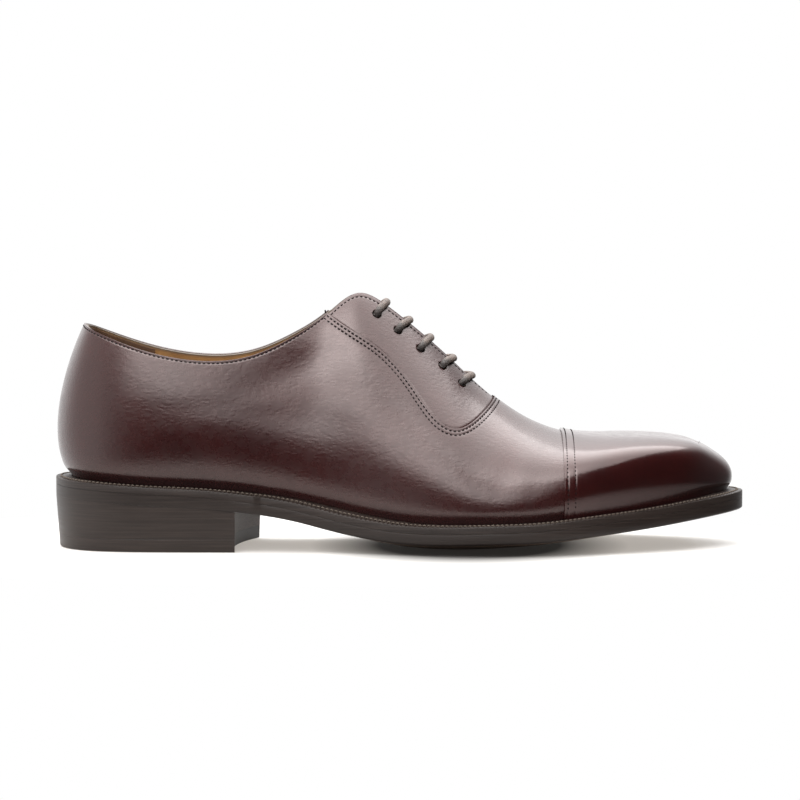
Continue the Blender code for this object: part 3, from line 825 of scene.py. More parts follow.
def ridge_row(along):
    """Section whose slit edge or ridge lies at a place along the foot."""
    low = np.full_like(along, COLLAR_ROWS[0], dtype=float)
    return solve(lambda row: upper.along(row) - along, low, np.full_like(low, TOE_TIP))


def eyelet_spots():
    """Sections and levels of the eyelets, the same on both facings."""
    along = np.array([hole.along for hole in EYELETS])
    height = upper.height(ridge_row(along)) - [hole.below for hole in EYELETS]
    first, last = np.full_like(along, EYELET_ROWS[0]), np.full_like(along, EYELET_ROWS[1])

    def row_on(level):
        return solve(lambda row: wall(row, LATERAL, level)[:, 0] - along, first, last)

    low = np.full_like(along, LEAST_LEVEL)
    level = solve(lambda at: wall(row_on(at), LATERAL, at)[:, 2] - height, low, np.ones_like(low))
    return list(zip(row_on(level), level))


EYELET_SPOTS = eyelet_spots()
PUNCH_LENGTH, PUNCH_SIDES = 8.0, 32


def punch_eyelets(obj, side):
    """Cut the eyelets of one side with round punches that stand square to the facing."""
    punches = []
    for row, level in EYELET_SPOTS:
        place = (row, side, level)
        turn = Vector(wall_normal(*place)).to_track_quat("Z", "Y").to_euler()
        bpy.ops.object.select_all(action="DESELECT")
        bpy.ops.mesh.primitive_cylinder_add(vertices=PUNCH_SIDES, radius=EYELET_RADIUS * MM,
                                            depth=PUNCH_LENGTH * MM, location=in_frame(wall(*place)),
                                            rotation=turn)
        punches.append(bpy.context.object)
    for punch in punches:
        punch.select_set(True)
    bpy.ops.object.join()
    punch = bpy.context.object
    apply(obj, "BOOLEAN", operation="DIFFERENCE", object=punch)
    bpy.data.objects.remove(punch)


# Lining: sections where it starts to leave the slit free and ends doing so past the vamp point, depths
# below the facing seam where it steps in behind the facing, and depths of the dye on its rim.
LINING_GAP = 0.05
LINING_THROAT, LINING_VAMP = (8.7, 9.1), (0.06, 0.16)
LINING_STEP = (-3.4, -1.0)
RIM_DYE = (0.6, 1.4)
GRIP_END, GRIP_FOOT, GRIP_BELOW, GRIP_THICK = 3.65, 0.22, 1.2, 0.5


def add_lining():
    row, side = last_columns(quarter=60, throat=50, vamp=12, toe=24)
    throat = ease(*LINING_THROAT, row) * (1 - ease(*LINING_VAMP, row - VAMP_POINT))
    ridge = np.where(row < VAMP_POINT, level_below(row, side, LINING_BELOW), 1.0)
    top = ridge + (LINING_SLIT_LEVEL - ridge) * throat
    share = np.linspace(0, 1, 40)
    place = (row[:, None], side[:, None], top[:, None] * share)
    points = wall(*place)
    inward = -wall_normal(*place)
    facing = (COLLAR_END < row) & (row < VAMP_POINT)
    behind_facing = ease(*LINING_STEP, -seam_depth(points)) * facing[:, None]
    below = wall_height(row, side, top)[:, None] * (1 - share)
    tucked = FEATHER_TUCK * (1 - ease(0, FEATHER_RISE, below[:, ::-1]))
    outer = LEATHER + LINING_GAP + FACING_STEP * behind_facing + tucked
    inner = outer + LINING_WALL + (FACING_LINING_WALL - LINING_WALL) * behind_facing
    shell = np.concatenate((moved(points, inward, outer), moved(points, inward, inner)[:, ::-1]), axis=1)
    rim = 1 - ease(*RIM_DYE, below)
    obj = bent_grid("lining", shell, rim=np.concatenate((rim, rim[:, ::-1]), axis=1))
    weld(obj, outward=True)
    for side in SIDES.values():
        punch_eyelets(obj, side)
    soften(obj, 0.25)
    dress(obj, TAN_LINING)


def add_heel_grip():
    row, side = round_heel(np.linspace(0, GRIP_END, 40))
    top = level_below(row, side, GRIP_BELOW)[:, None]
    place = (row[:, None], side[:, None], GRIP_FOOT + (top - GRIP_FOOT) * np.linspace(0, 1, 30))
    obj = bent_grid("heel_grip", wall(*place) - wall_normal(*place) * (LEATHER + LINING_WALL))
    thicken(obj, GRIP_THICK, rounding=0.2)
    dress(obj, HEEL_GRIP)


def over_the_toe(count):
    """Sides and levels from the lateral welt over the ridge to the medial welt."""
    climb = np.linspace(0, 1, count)
    side = np.concatenate((np.full(count, LATERAL), np.full(count - 1, MEDIAL)))
    return side, np.concatenate((climb, climb[-2::-1]))


def cap_line(side, level, in_front=0.0):
    """Sections of a line straight across the foot, a distance in front of the cap's rear edge."""
    along = CAP_ALONG + in_front
    low = np.full(len(level), VAMP_POINT)
    return solve(lambda row: wall(row, side, level)[:, 0] - along, low, np.full_like(low, TOE_TIP))


def cap_raised(level):
    """Height of the cap's face over the vamp, less at its hem."""
    return CAP_HEM_RAISED + (CAP_RAISED - CAP_HEM_RAISED) * ease(0, CAP_HEM_ENDS, level)


def add_toe_cap():
    side, level = over_the_toe(60)
    edge = cap_line(side, level)
    share = joined(np.linspace(0, CAP_BAND, 26), np.linspace(CAP_BAND, 1, 64))[:, None]
    row = edge + (TOE_TIP - edge) * share
    points = wall(row, side, level)
    relief = cap_raised(level) - groove(points[..., 0] - CAP_ALONG, *CAP_STITCHES)
    points = moved(points, wall_normal(row, side, np.minimum(level, CAP_CREST)), relief)
    points[:, [0, -1], 2] -= HEM_DROP
    obj = bent_grid("toe_cap_leather", points)
    weld(obj, reach=CAP_WELD)
    thicken(obj, CAP_RAISED - CAP_CLEAR, rounding=0.25)
    dress(obj, POLISHED_CALF, ["toe_cap"])


# Facing: how far it dives under the quarters' edge and where, what it leaves free of the sections at the
# collar and at the vamp point, how far it reaches below the seam, and the band of close points at the slit.
FACING_DIVE, FACING_DIVES = 0.45, (-0.9, 0.4)
FACING_REAR, FACING_FRONT = 0.01, 0.004
FACING_UNDER = 2.0
FACING_BAND, FACING_BAND_SHARE = 3.2, 0.4
TONGUE_HIDDEN, TONGUE_FLANK = 0.2, 0.5


def facing_point(row, side, level):
    """Points on the facing's face, which lies a step below the quarters and dives under their edge."""
    points = wall(row, side, level)
    sunk = FACING_STEP + FACING_DIVE * ease(*FACING_DIVES, seam_depth(points))
    return moved(points, -wall_normal(row, side, level), sunk)


def add_facing(word, side):
    row = crowded(COLLAR_END + FACING_REAR, VAMP_POINT - FACING_FRONT, 110)
    if side == MEDIAL:
        row = row[::-1]
    sides = np.full(len(row), side)
    low = np.maximum(seam_level(row, side, FACING_UNDER), LEAST_LEVEL)
    edge = np.full(len(row), FACING_SLIT_LEVEL)
    span = (wall_height(row, sides, edge) - wall_height(row, sides, low))[:, None]
    band = np.linspace(0, 1, 12) * np.minimum(FACING_BAND, span * FACING_BAND_SHARE)
    depth = depths(span, band, 36)
    place = (row[:, None], sides[:, None], levels_below(row, sides, edge, depth))
    points = moved(facing_point(*place), wall_normal(*place), -groove(depth, STITCH_EDGE))
    obj = bent_grid("facing_leather_" + word, points)
    weld(obj)
    thicken(obj, LEATHER)
    punch_eyelets(obj, side)
    soften(obj, 0.2)
    dress(obj, CALF, ["facing_" + word])


def add_tongue():
    columns = []
    for row in np.linspace(TONGUE_TOP, TONGUE_FRONT, 60):
        flanks = {}
        for side in SIDES.values():
            seam = seam_level(row, side)
            level = np.linspace(seam + TONGUE_HIDDEN * (1 - seam), 1, 24)
            pressed = TONGUE_DEPTH + TONGUE_PRESSED * ease(0, TONGUE_FLANK, (1 - level) / (1 - seam))
            flanks[side] = moved(wall(row, side, level), -wall_normal(row, side, level), pressed)
        crown = (flanks[LATERAL][-1] + flanks[MEDIAL][-1]) / 2
        half_slit = np.linalg.norm(flanks[LATERAL][-1] - crown)
        crown[2] += half_slit * upper.drop(row) / upper.reach(row) / 2
        columns.append(np.concatenate((flanks[LATERAL], crown[None], flanks[MEDIAL][::-1])))
    obj = bent_grid("tongue_leather", np.array(columns))
    apply(obj, "SMOOTH", factor=0.5, iterations=6)
    thicken(obj, TONGUE_WALL, rounding=0.3)
    dress(obj, CALF, ["tongue"])


# Sole and heel

JOINT = 0.04
UNDERNEATH = -0.8
SOCK_ENDS = (0.25, 19.8)
SOCK_INSET, SOCK_RAISED, SOCK_CURL, SOCK_THICK = 2.3, 0.9, 0.9, 0.8


def add_sock():
    row = np.linspace(*SOCK_ENDS, 130)
    inset = sole.welt(row) + SOCK_INSET
    lateral, medial = (inset_point(row, side, inset)[:, None] for side in SIDES.values())
    share = np.linspace(0, 1, 34)
    plan = lateral + (medial - lateral) * share[:, None]
    curl = SOCK_CURL * (2 * share - 1) ** 12
    height = tread(plan) + OUTSOLE_THICK + GAP + INSOLE_THICK + SOCK_RAISED + curl
    obj = bent_grid("sock", at_height(plan, height))
    thicken(obj, SOCK_THICK, rounding=0.25)
    dress(obj, TAN_LINING)


WELT_PITCH = 2.0
WELT_STEP = WELT_PITCH / 5
WELT_ROUNDING, WELT_BITE_WIDTH = 0.1, 0.16
WELT_INNER_LIFT, WELT_INNER_LEAST = 0.3, 1.0
WELT_STITCH_INSET = 2.3
# Top of the welt from its edge inwards: distance from the edge, height under the flat top, and how
# deep the wheel bites there.
WELT_TOP = table(
    "inset under bite",
    (0, 0.45, 0.05),
    (0.12, 0.15, 0.22),
    (0.45, 0, 0.34),
    (1.1, 0, 0.36),
    (1.9, 0.10, 0.34),
    (2.7, 0.10, 0.26),
    (3.3, 0, 0.08),
)


def round_the_edge():
    """Sections, sides and run at even steps round the sole, from the heel up the lateral side and back."""

    def place(turn):
        ahead = turn <= TOE_TIP
        return np.where(ahead, turn, 2 * TOE_TIP - turn), np.where(ahead, LATERAL, MEDIAL)

    turn = np.linspace(0, 2 * TOE_TIP, 4001)
    run = lengths(outer_point(*place(turn)))
    even = np.linspace(0, run[-1], round(run[-1] / WELT_STEP) + 1)
    return *place(np.interp(even, run, turn)), even


def welt_top(row, side, inset):
    """Points on the welt's flat top, a distance inside its edge."""
    height = tread_across(row, side) + SOLE_EDGE + sole.tilt(row) * inset / sole.welt(row)
    return at_height(outer_point(row, side, inset), height)


def add_welt():
    row, side, run = round_the_edge()
    pitches = round(run[-1] / WELT_PITCH)
    bite = bell(run / run[-1] * pitches % 1.0, 0.5, WELT_BITE_WIDTH)
    base = tread_across(row, side) + OUTSOLE_THICK + JOINT
    ring = [at_height(outer_point(row, side, WELT_ROUNDING), base),
            at_height(outer_point(row, side), base + WELT_ROUNDING)]
    for point in WELT_TOP:
        corner = welt_top(row, side, point.inset)
        corner[:, 2] -= point.under + point.bite * bite
        ring.append(corner)
    inset = sole.welt(row)
    feather = welt_top(row, side, inset)
    inner = inset_point(row, side, inset + WELT_UNDER)
    low = np.minimum(base + WELT_INNER_LIFT, feather[:, 2] - WELT_INNER_LEAST)
    ring += [feather, at_height(inner, feather[:, 2]), at_height(inner, low), ring[0]]
    obj = bent_grid("welt_strip", np.stack(ring, axis=1))
    weld(obj, outward=True)
    dress(obj, WELT_WAX, ["welt"], crease=30)


# Over the heel, where stack and outsole are trimmed flush, little of the outsole's rounding is left.
OVER_THE_HEEL, BREAST_FADE = 0.08, 1.5
FLOOR_MEETS = (0.5, 0.9)
EDGE_WAX_ENDS = 0.97
# Edge of the outsole from its top down: distance inside the edge and height over the underside.
OUTSOLE_EDGE = table(
    "inset height",
    (0.1, OUTSOLE_THICK),
    (0.03, OUTSOLE_THICK - 0.03),
    (0, OUTSOLE_THICK - 0.1),
    (0, 2.4),
    (0, 0.9),
    (0.1, 0.5),
    (0.35, 0.16),
    (0.9, 0),
)


def outsole_corner(row, side, inset, height):
    """Points along one side of the outsole, at a place on its edge."""
    breast = BREAST_LATERAL if side == LATERAL else BREAST_MEDIAL
    rounded = ease(breast - BREAST_FADE, breast + BREAST_FADE, outer_point(row, side)[..., 0])
    inset = inset * (OVER_THE_HEEL + (1 - OVER_THE_HEEL) * rounded)
    plan = outer_point(row, side, inset)
    low = tread_across(row, side)
    inner = np.maximum(tread(plan), 0.0)
    return at_height(plan, low + (inner - low) * ease(*FLOOR_MEETS, inset) + height)


def add_outsole():
    row = joined(np.linspace(0, 1, 26), np.linspace(1, 19, 200), np.linspace(19, TOE_TIP, 30))
    lateral, medial = ([outsole_corner(row, side, *point) for point in OUTSOLE_EDGE]
                       for side in SIDES.values())

    def sheet(start, end, over):
        points = []
        for share in np.linspace(0, 1, 16)[1:-1]:
            plan = start[:, :2] + (end[:, :2] - start[:, :2]) * share
            points.append(at_height(plan, tread(plan) + over if over else np.maximum(tread(plan), 0.0)))
        return points

    ring = medial + sheet(medial[-1], lateral[-1], 0) + lateral[::-1]
    ring += sheet(lateral[0], medial[0], OUTSOLE_THICK) + medial[:1]
    obj = bent_grid("outsole_leather", np.stack(ring, axis=1))
    weld(obj, outward=True)
    dress(obj, (SOLE_EDGE_WAX, SOLE_BOTTOM), ["outsole"])
    middles = np.array([face.center[:2] for face in obj.data.polygons]) / MM + CENTRE[:2]
    inside = abs(across_sole(middles)[1]) < EDGE_WAX_ENDS
    repaint(obj, lambda face: face.normal.z < UNDERNEATH and inside[face.index])


def heel_scale(height):
    """How much of the sole's plan the heel keeps at a height, drawn in towards the floor."""
    return HEEL_TAPER + (1 - HEEL_TAPER) * height / SOLE_ROWS[0].edge


def breast_circle():
    """Plan centre and radius of the drum whose back makes the hollow front of the heel."""
    lateral = np.array((BREAST_LATERAL, -BREAST_HALF_WIDTH))
    medial = np.array((BREAST_MEDIAL, BREAST_HALF_WIDTH))
    chord = medial - lateral
    length = np.linalg.norm(chord)
    radius = length ** 2 / (8 * BREAST_HOLLOW) + BREAST_HOLLOW / 2
    forward = np.array((chord[1], -chord[0])) / length
    return (lateral + medial) / 2 + forward * (radius - BREAST_HOLLOW), radius


def heel_ring(bottom, top, share, notch):
    """Outline of the heel at a share of a layer's height, drawn in by a notch, from breast to breast."""
    centre, radius = breast_circle()

    def height_at(plan):
        return bottom + (top(plan) - bottom) * share

    def side_point(row, side):
        plan = outer_point(row, side)
        height = height_at(plan)
        drawn = (HEEL_CENTRE, 0) + (plan - (HEEL_CENTRE, 0)) * heel_scale(height)[..., None]
        return at_height(drawn - edge_normal(row, side) * notch, height)

    halves = []
    for side in SIDES.values():
        ahead = solve(lambda row: radius - np.linalg.norm(side_point(row, side)[:2] - centre), *HEEL_ROWS)
        half = joined(np.linspace(0, 1, 40), np.linspace(1, ahead, 80))
        halves.append(side_point(half, np.full(len(half), side)))
    lateral, medial = halves
    start, end = (math.atan2(*(half[-1, :2] - centre)[::-1]) % (2 * math.pi) for half in (medial, lateral))
    turn = np.linspace(start, end, 60)[1:]
    plan = centre + radius * np.stack((np.cos(turn), np.sin(turn)), axis=-1)
    return np.concatenate((lateral[::-1], medial[1:], at_height(plan, height_at(plan))))


# Layers of the heel from the bottom up: share of the layer's height, and how far the edge is drawn in.
LIFT_EDGES = table("share notch", (0, 0.35), (0.05, 0.08), (0.12, 0), (0.9, 0), (0.98, 0), (1, 0.05))
STACK_EDGES = table("share notch", (0, 0.05), (0.02, 0), (0.324, 0), (0.34, 0.02), (0.356, 0),
                    (0.654, 0), (0.67, 0.02), (0.686, 0), (0.98, 0), (1, 0.06))
SEAT_JOINT = 0.03
BREAST_FACES, BREAST_LEVEL, BREAST_FROM = 0.6, 0.5, -0.08


def add_heel_layer(name, bottom, top, edges):
    rings = [heel_ring(bottom, top, share, notch) for share, notch in edges]
    obj = bent_grid(name, np.stack(rings, axis=1))
    weld(obj, fill=True, outward=True)
    return obj


def on_breast(face):
    """Whether a face lies on the hollow front of the heel."""
    faces_front = face.normal.x > BREAST_FACES and abs(face.normal.z) < BREAST_LEVEL
    return faces_front and face.center.x > BREAST_FROM


def add_heel():
    lift = add_heel_layer("top_lift", 0.0, lambda plan: np.full(plan.shape[:-1], TOP_LIFT), LIFT_EDGES)
    dress(lift, (HEEL_WAX, RUBBER), ["heel_top_lift"])
    repaint(lift, lambda face: face.normal.z < UNDERNEATH or on_breast(face))
    stack = add_heel_layer("heel_stack_leather", TOP_LIFT + JOINT, lambda plan: tread(plan) - SEAT_JOINT,
                           STACK_EDGES)
    dress(stack, (HEEL_WAX, STACK_BREAST), ["heel_stack"])
    repaint(stack, on_breast)


# Lace

LACE_STEP = 0.25
LACE_SIDES = 28
LACE_UNDER = -3.0
LACE_PRESSED, LACE_FLAT = 0.84, 0.42
LACE_STRANDS = 6
LACE_BRAID, LACE_TWIST = 0.10, 2.6
LACE_SPREAD = 0.5
# Distances from the eyelets over which the painted shade on the lace fades out.
LACE_EYELET_SHADE = (1.2, 4.6)
LACE_END_FLAT = 0.8
LACE_UNDER_SHARES = (0.12, 0.5, 0.88)
# Run of the lace from its hidden end under the lateral top eyelet to its other end under the medial one:
# the bars in turn, the side that each starts from, and how far to the side of the eyelets it runs before.
LACE_BARS = table(
    "number start aside",
    (2, LATERAL, -0.05),
    (4, MEDIAL, 0.05),
    (5, LATERAL, 0),
    (3, MEDIAL, -0.05),
    (1, LATERAL, 0.05),
)


def lace_point(place, height, flatness):
    """Point of the lace at a height over the wall, with its surface direction and flatness."""
    normal = wall_normal(*place)
    return wall(*place) + normal * height, normal, flatness


def lace_bar(number, start):
    """Points of one bar, from the eyelet where it comes up to the other one."""
    row, level = EYELET_SPOTS[number - 1]
    slit_row = ridge_row(EYELETS[number - 1].crossing)
    halves = {}
    for side in SIDES.values():
        halves[side] = []
        for point in LACE_HALF:
            place = (row + (slit_row - row) * point.share, side, level + (1 - level) * point.share)
            halves[side].append(lace_point(place, point.height, LACE_PRESSED))
    middle = (top_point(slit_row, LATERAL) + top_point(slit_row, MEDIAL)) / 2
    middle[2] += LACE_RIDE + LACE_CROWN
    slope = unit(np.array((-ridge_slope(slit_row), 0.0, 1.0)))
    return halves[start] + [(middle, slope, LACE_PRESSED)] + halves[-start][::-1]


def lace_under(start, end, side, aside):
    """Flattened run behind a facing from one eyelet to another."""
    points = []
    for share in LACE_UNDER_SHARES:
        row = start[0] + (end[0] - start[0]) * share
        level = start[1] + (end[1] - start[1]) * share + aside * math.sin(math.pi * share)
        points.append(lace_point((row, side, level), LACE_UNDER, LACE_FLAT))
    return points


def lace_route():
    """Points of the whole lace."""
    spots = dict(enumerate(EYELET_SPOTS, start=1))
    route = lace_under(spots[1], spots[2], LATERAL, LACE_BARS[0].aside)
    for bar, after in zip(LACE_BARS, LACE_BARS[1:] + [None]):
        route += lace_bar(bar.number, bar.start)
        if after:
            route += lace_under(spots[bar.number], spots[after.number], -bar.start, after.aside)
    row, level = spots[LACE_BARS[-1].number]
    return route + [lace_point((row, MEDIAL, level), LACE_UNDER, LACE_END_FLAT)]


def add_lace():
    points, normals, flatness = (np.array(part) for part in zip(*lace_route()))
    knots = lengths(points)
    at = np.linspace(0, knots[-1], int(knots[-1] / LACE_STEP))
    path = np.stack([Spline(knots, part, level=False)(at) for part in points.T], axis=1)
    flat = np.interp(at, knots, flatness)[:, None]
    tangent = unit(np.gradient(path, axis=0))
    sideways = unit(np.cross(tangent, along_line(at, knots, normals)))
    up = np.cross(sideways, tangent)
    turn = np.linspace(0, 2 * math.pi, LACE_SIDES + 1)
    strand = LACE_STRANDS * turn / 2
    twist = lengths(path)[:, None] * LACE_TWIST
    braid = np.abs(np.sin(strand + twist) * np.sin(strand - twist)) ** 0.5
    radius = LACE_RADIUS - LACE_BRAID + LACE_BRAID * braid * 2
    wide = 1 + (1 - flat) * LACE_SPREAD
    rings = moved(path[:, None], sideways[:, None], np.cos(turn) * radius * wide)
    rings = moved(rings, up[:, None], np.sin(turn) * radius * flat)
    holes = np.array([wall(row, side, level) for row, level in EYELET_SPOTS for side in SIDES.values()])
    from_hole = np.linalg.norm(rings[:, :, None] - holes, axis=-1).min(axis=-1)
    # Share of painted shade on the lace, full at the eyelets.
    obj = bent_grid("lace", rings, rubbed=1 - ease(*LACE_EYELET_SHADE, from_hole))
    weld(obj, fill=True, outward=True)
    bars = ["lace_bar_%d" % number for number in range(1, len(EYELETS) + 1)]
    dress(obj, LACE, bars, crease=60)


# Stitches

# One stitch from end to end: place along it, thickness and how deep it dives.
STITCH_RINGS = table(
    "along thickness dive",
    (-1, 0.45, 1.3),
    (-0.72, 0.95, 0.35),
    (0, 1, 0),
    (0.72, 0.95, 0.35),
    (1, 0.45, 1.3),
)
STITCH_SIDES = 6
STITCH_PITCH, STITCH_LENGTH, STITCH_LIFT = 2.0, 1.5, 0.02
STITCH_AIM = 0.3
# Where rows of stitches end, in sections from the collar's end and from the vamp point.
TOPLINE_END = 0.1
SEAM_REAR, SEAM_FRONT = 0.03, 0.003
EDGE_ENDS = 0.12
CAP_LINE_POINTS, CAP_LINE_ENDS = 160, 8
# Stitch across the top end of the facing seam, from the collar's end.
BAR_TACK_START, BAR_TACK_RUN = (-0.6, -0.3, -0.7), (-0.4, 0.0, 2.2)


def sew(name, lines, radius, length=STITCH_LENGTH, lift=STITCH_LIFT, pitch=STITCH_PITCH,
        finish=UPPER_THREAD):
    """Rows of stitches along lines of points with their surface directions, joined in one piece."""
    turn = np.arange(STITCH_SIDES) / STITCH_SIDES * 2 * math.pi
    along, thickness, dive = np.array(STITCH_RINGS).T[..., None]
    run_along = np.broadcast_to(along * length / 2, (len(STITCH_RINGS), STITCH_SIDES))
    aside, above = radius * thickness * np.cos(turn), radius * thickness * np.sin(turn)
    stitch = np.stack((run_along, aside, above + lift - dive * radius), axis=-1)
    stitches = []
    for points, normals in lines:
        run = lengths(points)
        count = max(int(run[-1] / pitch), 1)
        at = (np.arange(count) + 0.5) * run[-1] / count
        tangent = unit(along_line(at + STITCH_AIM, run, points) - along_line(at - STITCH_AIM, run, points))
        up = unit(along_line(at, run, normals))
        axes = np.stack((tangent, np.cross(up, tangent), up), axis=1)
        stitches.append(along_line(at, run, points)[:, None, None] + stitch @ axes[:, None])
    verts = np.concatenate(stitches).reshape(-1, 3)
    corner = np.arange(len(STITCH_RINGS) * STITCH_SIDES).reshape(len(STITCH_RINGS), STITCH_SIDES)
    after = np.roll(corner, -1, axis=1)
    quads = np.stack((corner[:-1], after[:-1], after[1:], corner[1:]), axis=-1).reshape(-1, 4)
    faces_of_one = [*quads, corner[0, ::-1], corner[-1]]
    faces = [(face + first).tolist() for first in range(0, len(verts), corner.size) for face in faces_of_one]
    mesh = bpy.data.meshes.new(name)
    mesh.from_pydata(in_frame(verts).tolist(), [], faces)
    obj = bpy.data.objects.new(name, mesh)
    bpy.context.scene.collection.objects.link(obj)
    weld(obj, outward=True)
    dress(obj, finish, crease=80)


def wall_line(row, side, level, raised):
    """Line of points on the last with their surface directions."""
    row, side, level = np.broadcast_arrays(row, side, level)
    normal = wall_normal(row, side, level)
    return moved(wall(row, side, level), normal, raised), normal


def add_stitches():
    row, side = round_heel(np.linspace(0, COLLAR_END - TOPLINE_END, 200))
    topline = wall_line(row, side, level_below(row, side, COLLAR_STITCH), -GROOVE)
    seam_lines, edge_lines = [], []
    for side in SIDES.values():
        for stitch in SEAM_STITCHES:
            collar, vamp = seam_ends(side, stitch)
            row = crowded(collar + SEAM_REAR, vamp - SEAM_FRONT, 240)
            seam_lines.append(wall_line(row, side, seam_level(row, side, stitch), -GROOVE))
        row = crowded(COLLAR_END + EDGE_ENDS, VAMP_POINT - EDGE_ENDS, 240)
        sides = np.full(len(row), side)
        place = (row, sides, level_below(row, sides, STITCH_EDGE, FACING_SLIT_LEVEL))
        normal = wall_normal(*place)
        edge_lines.append((facing_point(*place) - normal * GROOVE, normal))
    tack = np.linspace(0, 1, 6)[:, None] * BAR_TACK_RUN + wall(COLLAR_END, LATERAL, 1.0) + BAR_TACK_START
    seam_lines.append((tack, np.tile((0.0, -1.0, 0.0), (len(tack), 1))))
    side, level = (line[CAP_LINE_ENDS:-CAP_LINE_ENDS] for line in over_the_toe(CAP_LINE_POINTS))
    raised = cap_raised(level) - GROOVE
    cap_lines = [wall_line(cap_line(side, level, stitch), side, level, raised) for stitch in CAP_STITCHES]
    sew("topline_stitches", [topline], radius=0.34)
    sew("facing_seam_stitches", seam_lines, radius=0.36)
    sew("facing_edge_stitches", edge_lines, radius=0.34)
    sew("toe_cap_stitches", cap_lines, radius=0.29, length=1.05)
    row, side, run = round_the_edge()
    welt_line = welt_top(row, side, WELT_STITCH_INSET), np.tile((0.0, 0.0, 1.0), (len(row), 1))
    pitch = run[-1] / round(run[-1] / WELT_PITCH)
    sew("welt_stitches", [welt_line], radius=0.36, lift=0.12, pitch=pitch, finish=WELT_THREAD)


# Studio, in metres

CAMERA_PLACE, CAMERA_AIM, FOCAL, SENSOR = (0, -2.0, 0.212), (0, 0, 0.0642), 204.0, 36.0
SOFTBOX_PLACE, SOFTBOX_AIM, SOFTBOX_SIZE, SOFTBOX_POWER = (0, -0.12, 1.15), (0, -0.12, 0), (1.9, 1.86), 50
FLOOR_SIZE, FLOOR_HEIGHT = 6, -0.0002
WHITE = (1.0, 1.0, 1.0)
WALL_GLOW, ROOM_GLOW, FLOOR_GLOW, PANEL_GLOW = 1.3, 0.02, 0.40, 6.2
# Distances over which the floor fades out round the shoe, and over which the painted contact shadow round
# the ball clears.
FLOOR_FADE, BALL_SHADOW_CLEARS = (0.11, 0.16), (0.052, 0.092)
# Ovals that the distances belong to: how far they are drawn together along the foot, and their shift.
FLOOR_OVAL, BALL_SHADOW_OVAL = (0.7, 0.021), (1.3, -0.04)
# Room as the shoe reflects it, in ramps over parts of the direction: the wall behind with its dark right
# end and its bright top, the wall to the left, and the panel in front with its slanting lower edge.
BEHIND, BEHIND_END, BEHIND_TOP, LEFT = (-0.3, 0.35), (0.35, 0.8), (0.2, 0.8), (0.3, 0.75)
BEHIND_DARK, BEHIND_BRIGHT, LEFT_BRIGHT = 0.85, 2.3, 1.2
PANEL_FRONT, PANEL_FOOT, PANEL_SLANTS, PANEL_SLANT = (0.2, 0.5), (0.28, 0.46), (-0.2, 0.1), 0.14
PANEL_RIGHT, PANEL_LEFT = (-0.06, 0.22), (0.25, 0.5)


def link_aimed(name, data, place, aim):
    """Put a camera or a light at a place, turned towards what it aims at."""
    obj = bpy.data.objects.new(name, data)
    obj.location = place
    obj.rotation_euler = (Vector(aim) - Vector(place)).to_track_quat("-Z", "Y").to_euler()
    bpy.context.scene.collection.objects.link(obj)
    return obj


def add_camera():
    data = bpy.data.cameras.new("camera")
    data.lens = FOCAL
    data.sensor_width = SENSOR
    bpy.context.scene.camera = link_aimed("camera", data, CAMERA_PLACE, CAMERA_AIM)


def add_softbox():
    data = bpy.data.lights.new("overhead_softbox", "AREA")
    data.shape = "RECTANGLE"
    data.size, data.size_y = SOFTBOX_SIZE
    data.energy = SOFTBOX_POWER
    link_aimed("overhead_softbox", data, SOFTBOX_PLACE, SOFTBOX_AIM)


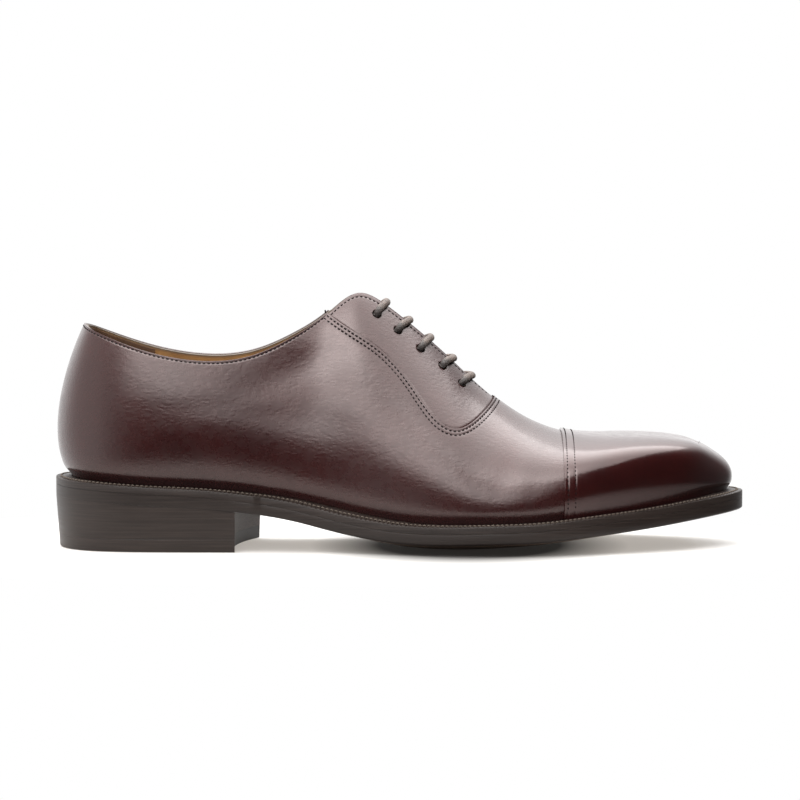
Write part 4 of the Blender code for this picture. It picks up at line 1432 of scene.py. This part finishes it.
def add_floor():
    bpy.ops.object.select_all(action="DESELECT")
    bpy.ops.mesh.primitive_plane_add(size=FLOOR_SIZE, location=(0, 0, FLOOR_HEIGHT))
    floor = bpy.context.object
    floor.name = "floor"
    finish = Finish("floor_white")

    def distance(stretch, shift):
        spot = finish.place((stretch, 1, 1), (shift, 0, 0))
        return finish.node("ShaderNodeVectorMath", {0: spot}, out=1, operation="LENGTH")

    shown = 1 - finish.ramp(distance(*FLOOR_OVAL), *FLOOR_FADE)
    # Painted contact shadow: the floor's colour and glow turn dark in an oval under the ball.
    clear = finish.ramp(distance(*BALL_SHADOW_OVAL), *BALL_SHADOW_CLEARS)
    pale = finish.mix(clear, (0.06, 0.058, 0.056), (0.36, 0.355, 0.35))
    glow = finish.mix(clear, (0.05, 0.046, 0.042), (1.0, 0.93, 0.85))
    floor.data.materials.append(finish.surface(Base_Color=pale, Roughness=0.8, Alpha=shown,
                                               Specular_IOR_Level=0.05, Emission_Color=glow,
                                               Emission_Strength=FLOOR_GLOW))


def add_world():
    """White for the camera; for the shoe a dark room, pale behind and to the left, with a panel."""
    world = bpy.data.worlds.new("studio")
    bpy.context.scene.world = world
    world.use_nodes = True
    room = Nodes(world.node_tree)
    room.tree.nodes.clear()
    way = room.node("ShaderNodeTexCoord")
    x, y, z = (room.node("ShaderNodeSeparateXYZ", {0: way}, axis) for axis in "XYZ")
    behind = room.ramp(y, *BEHIND) * (1 - room.ramp(x, *BEHIND_END) * BEHIND_DARK)
    behind = behind * (1 + room.ramp(z, *BEHIND_TOP) ** 2.0 * BEHIND_BRIGHT)
    left = room.ramp(0 - x, *LEFT) * LEFT_BRIGHT
    panel = room.ramp(z + room.ramp(x, *PANEL_SLANTS) * PANEL_SLANT, *PANEL_FOOT)
    panel = panel * (1 - room.ramp(x, *PANEL_RIGHT)) * (1 - room.ramp(0 - x, *PANEL_LEFT))
    panel = panel * room.ramp(0 - y, *PANEL_FRONT)
    bright = behind.maths("MAXIMUM", behind, left) * WALL_GLOW + panel * PANEL_GLOW + ROOM_GLOW
    reflected = room.node("ShaderNodeBackground", {"Color": WHITE, "Strength": bright})
    backdrop = room.node("ShaderNodeBackground", {"Color": WHITE})
    seen = room.node("ShaderNodeLightPath")
    both = room.node("ShaderNodeMixShader", {0: seen, 1: reflected, 2: backdrop})
    output = room.tree.nodes.new("ShaderNodeOutputWorld")
    room.put(output.inputs["Surface"], both)


bpy.context.scene.view_settings.view_transform = "Standard"
add_camera()
add_world()
add_floor()
add_softbox()

add_lace()
add_upper_leather()
add_lining()
add_heel_grip()
add_toe_cap()
for facing_word, facing_side in SIDES.items():
    add_facing(facing_word, facing_side)
add_tongue()
add_sock()
add_welt()
add_outsole()
add_heel()
add_stitches()
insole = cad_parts["insole"]
insole.data.materials.clear()
insole.data.materials.append(TAN_LINING)
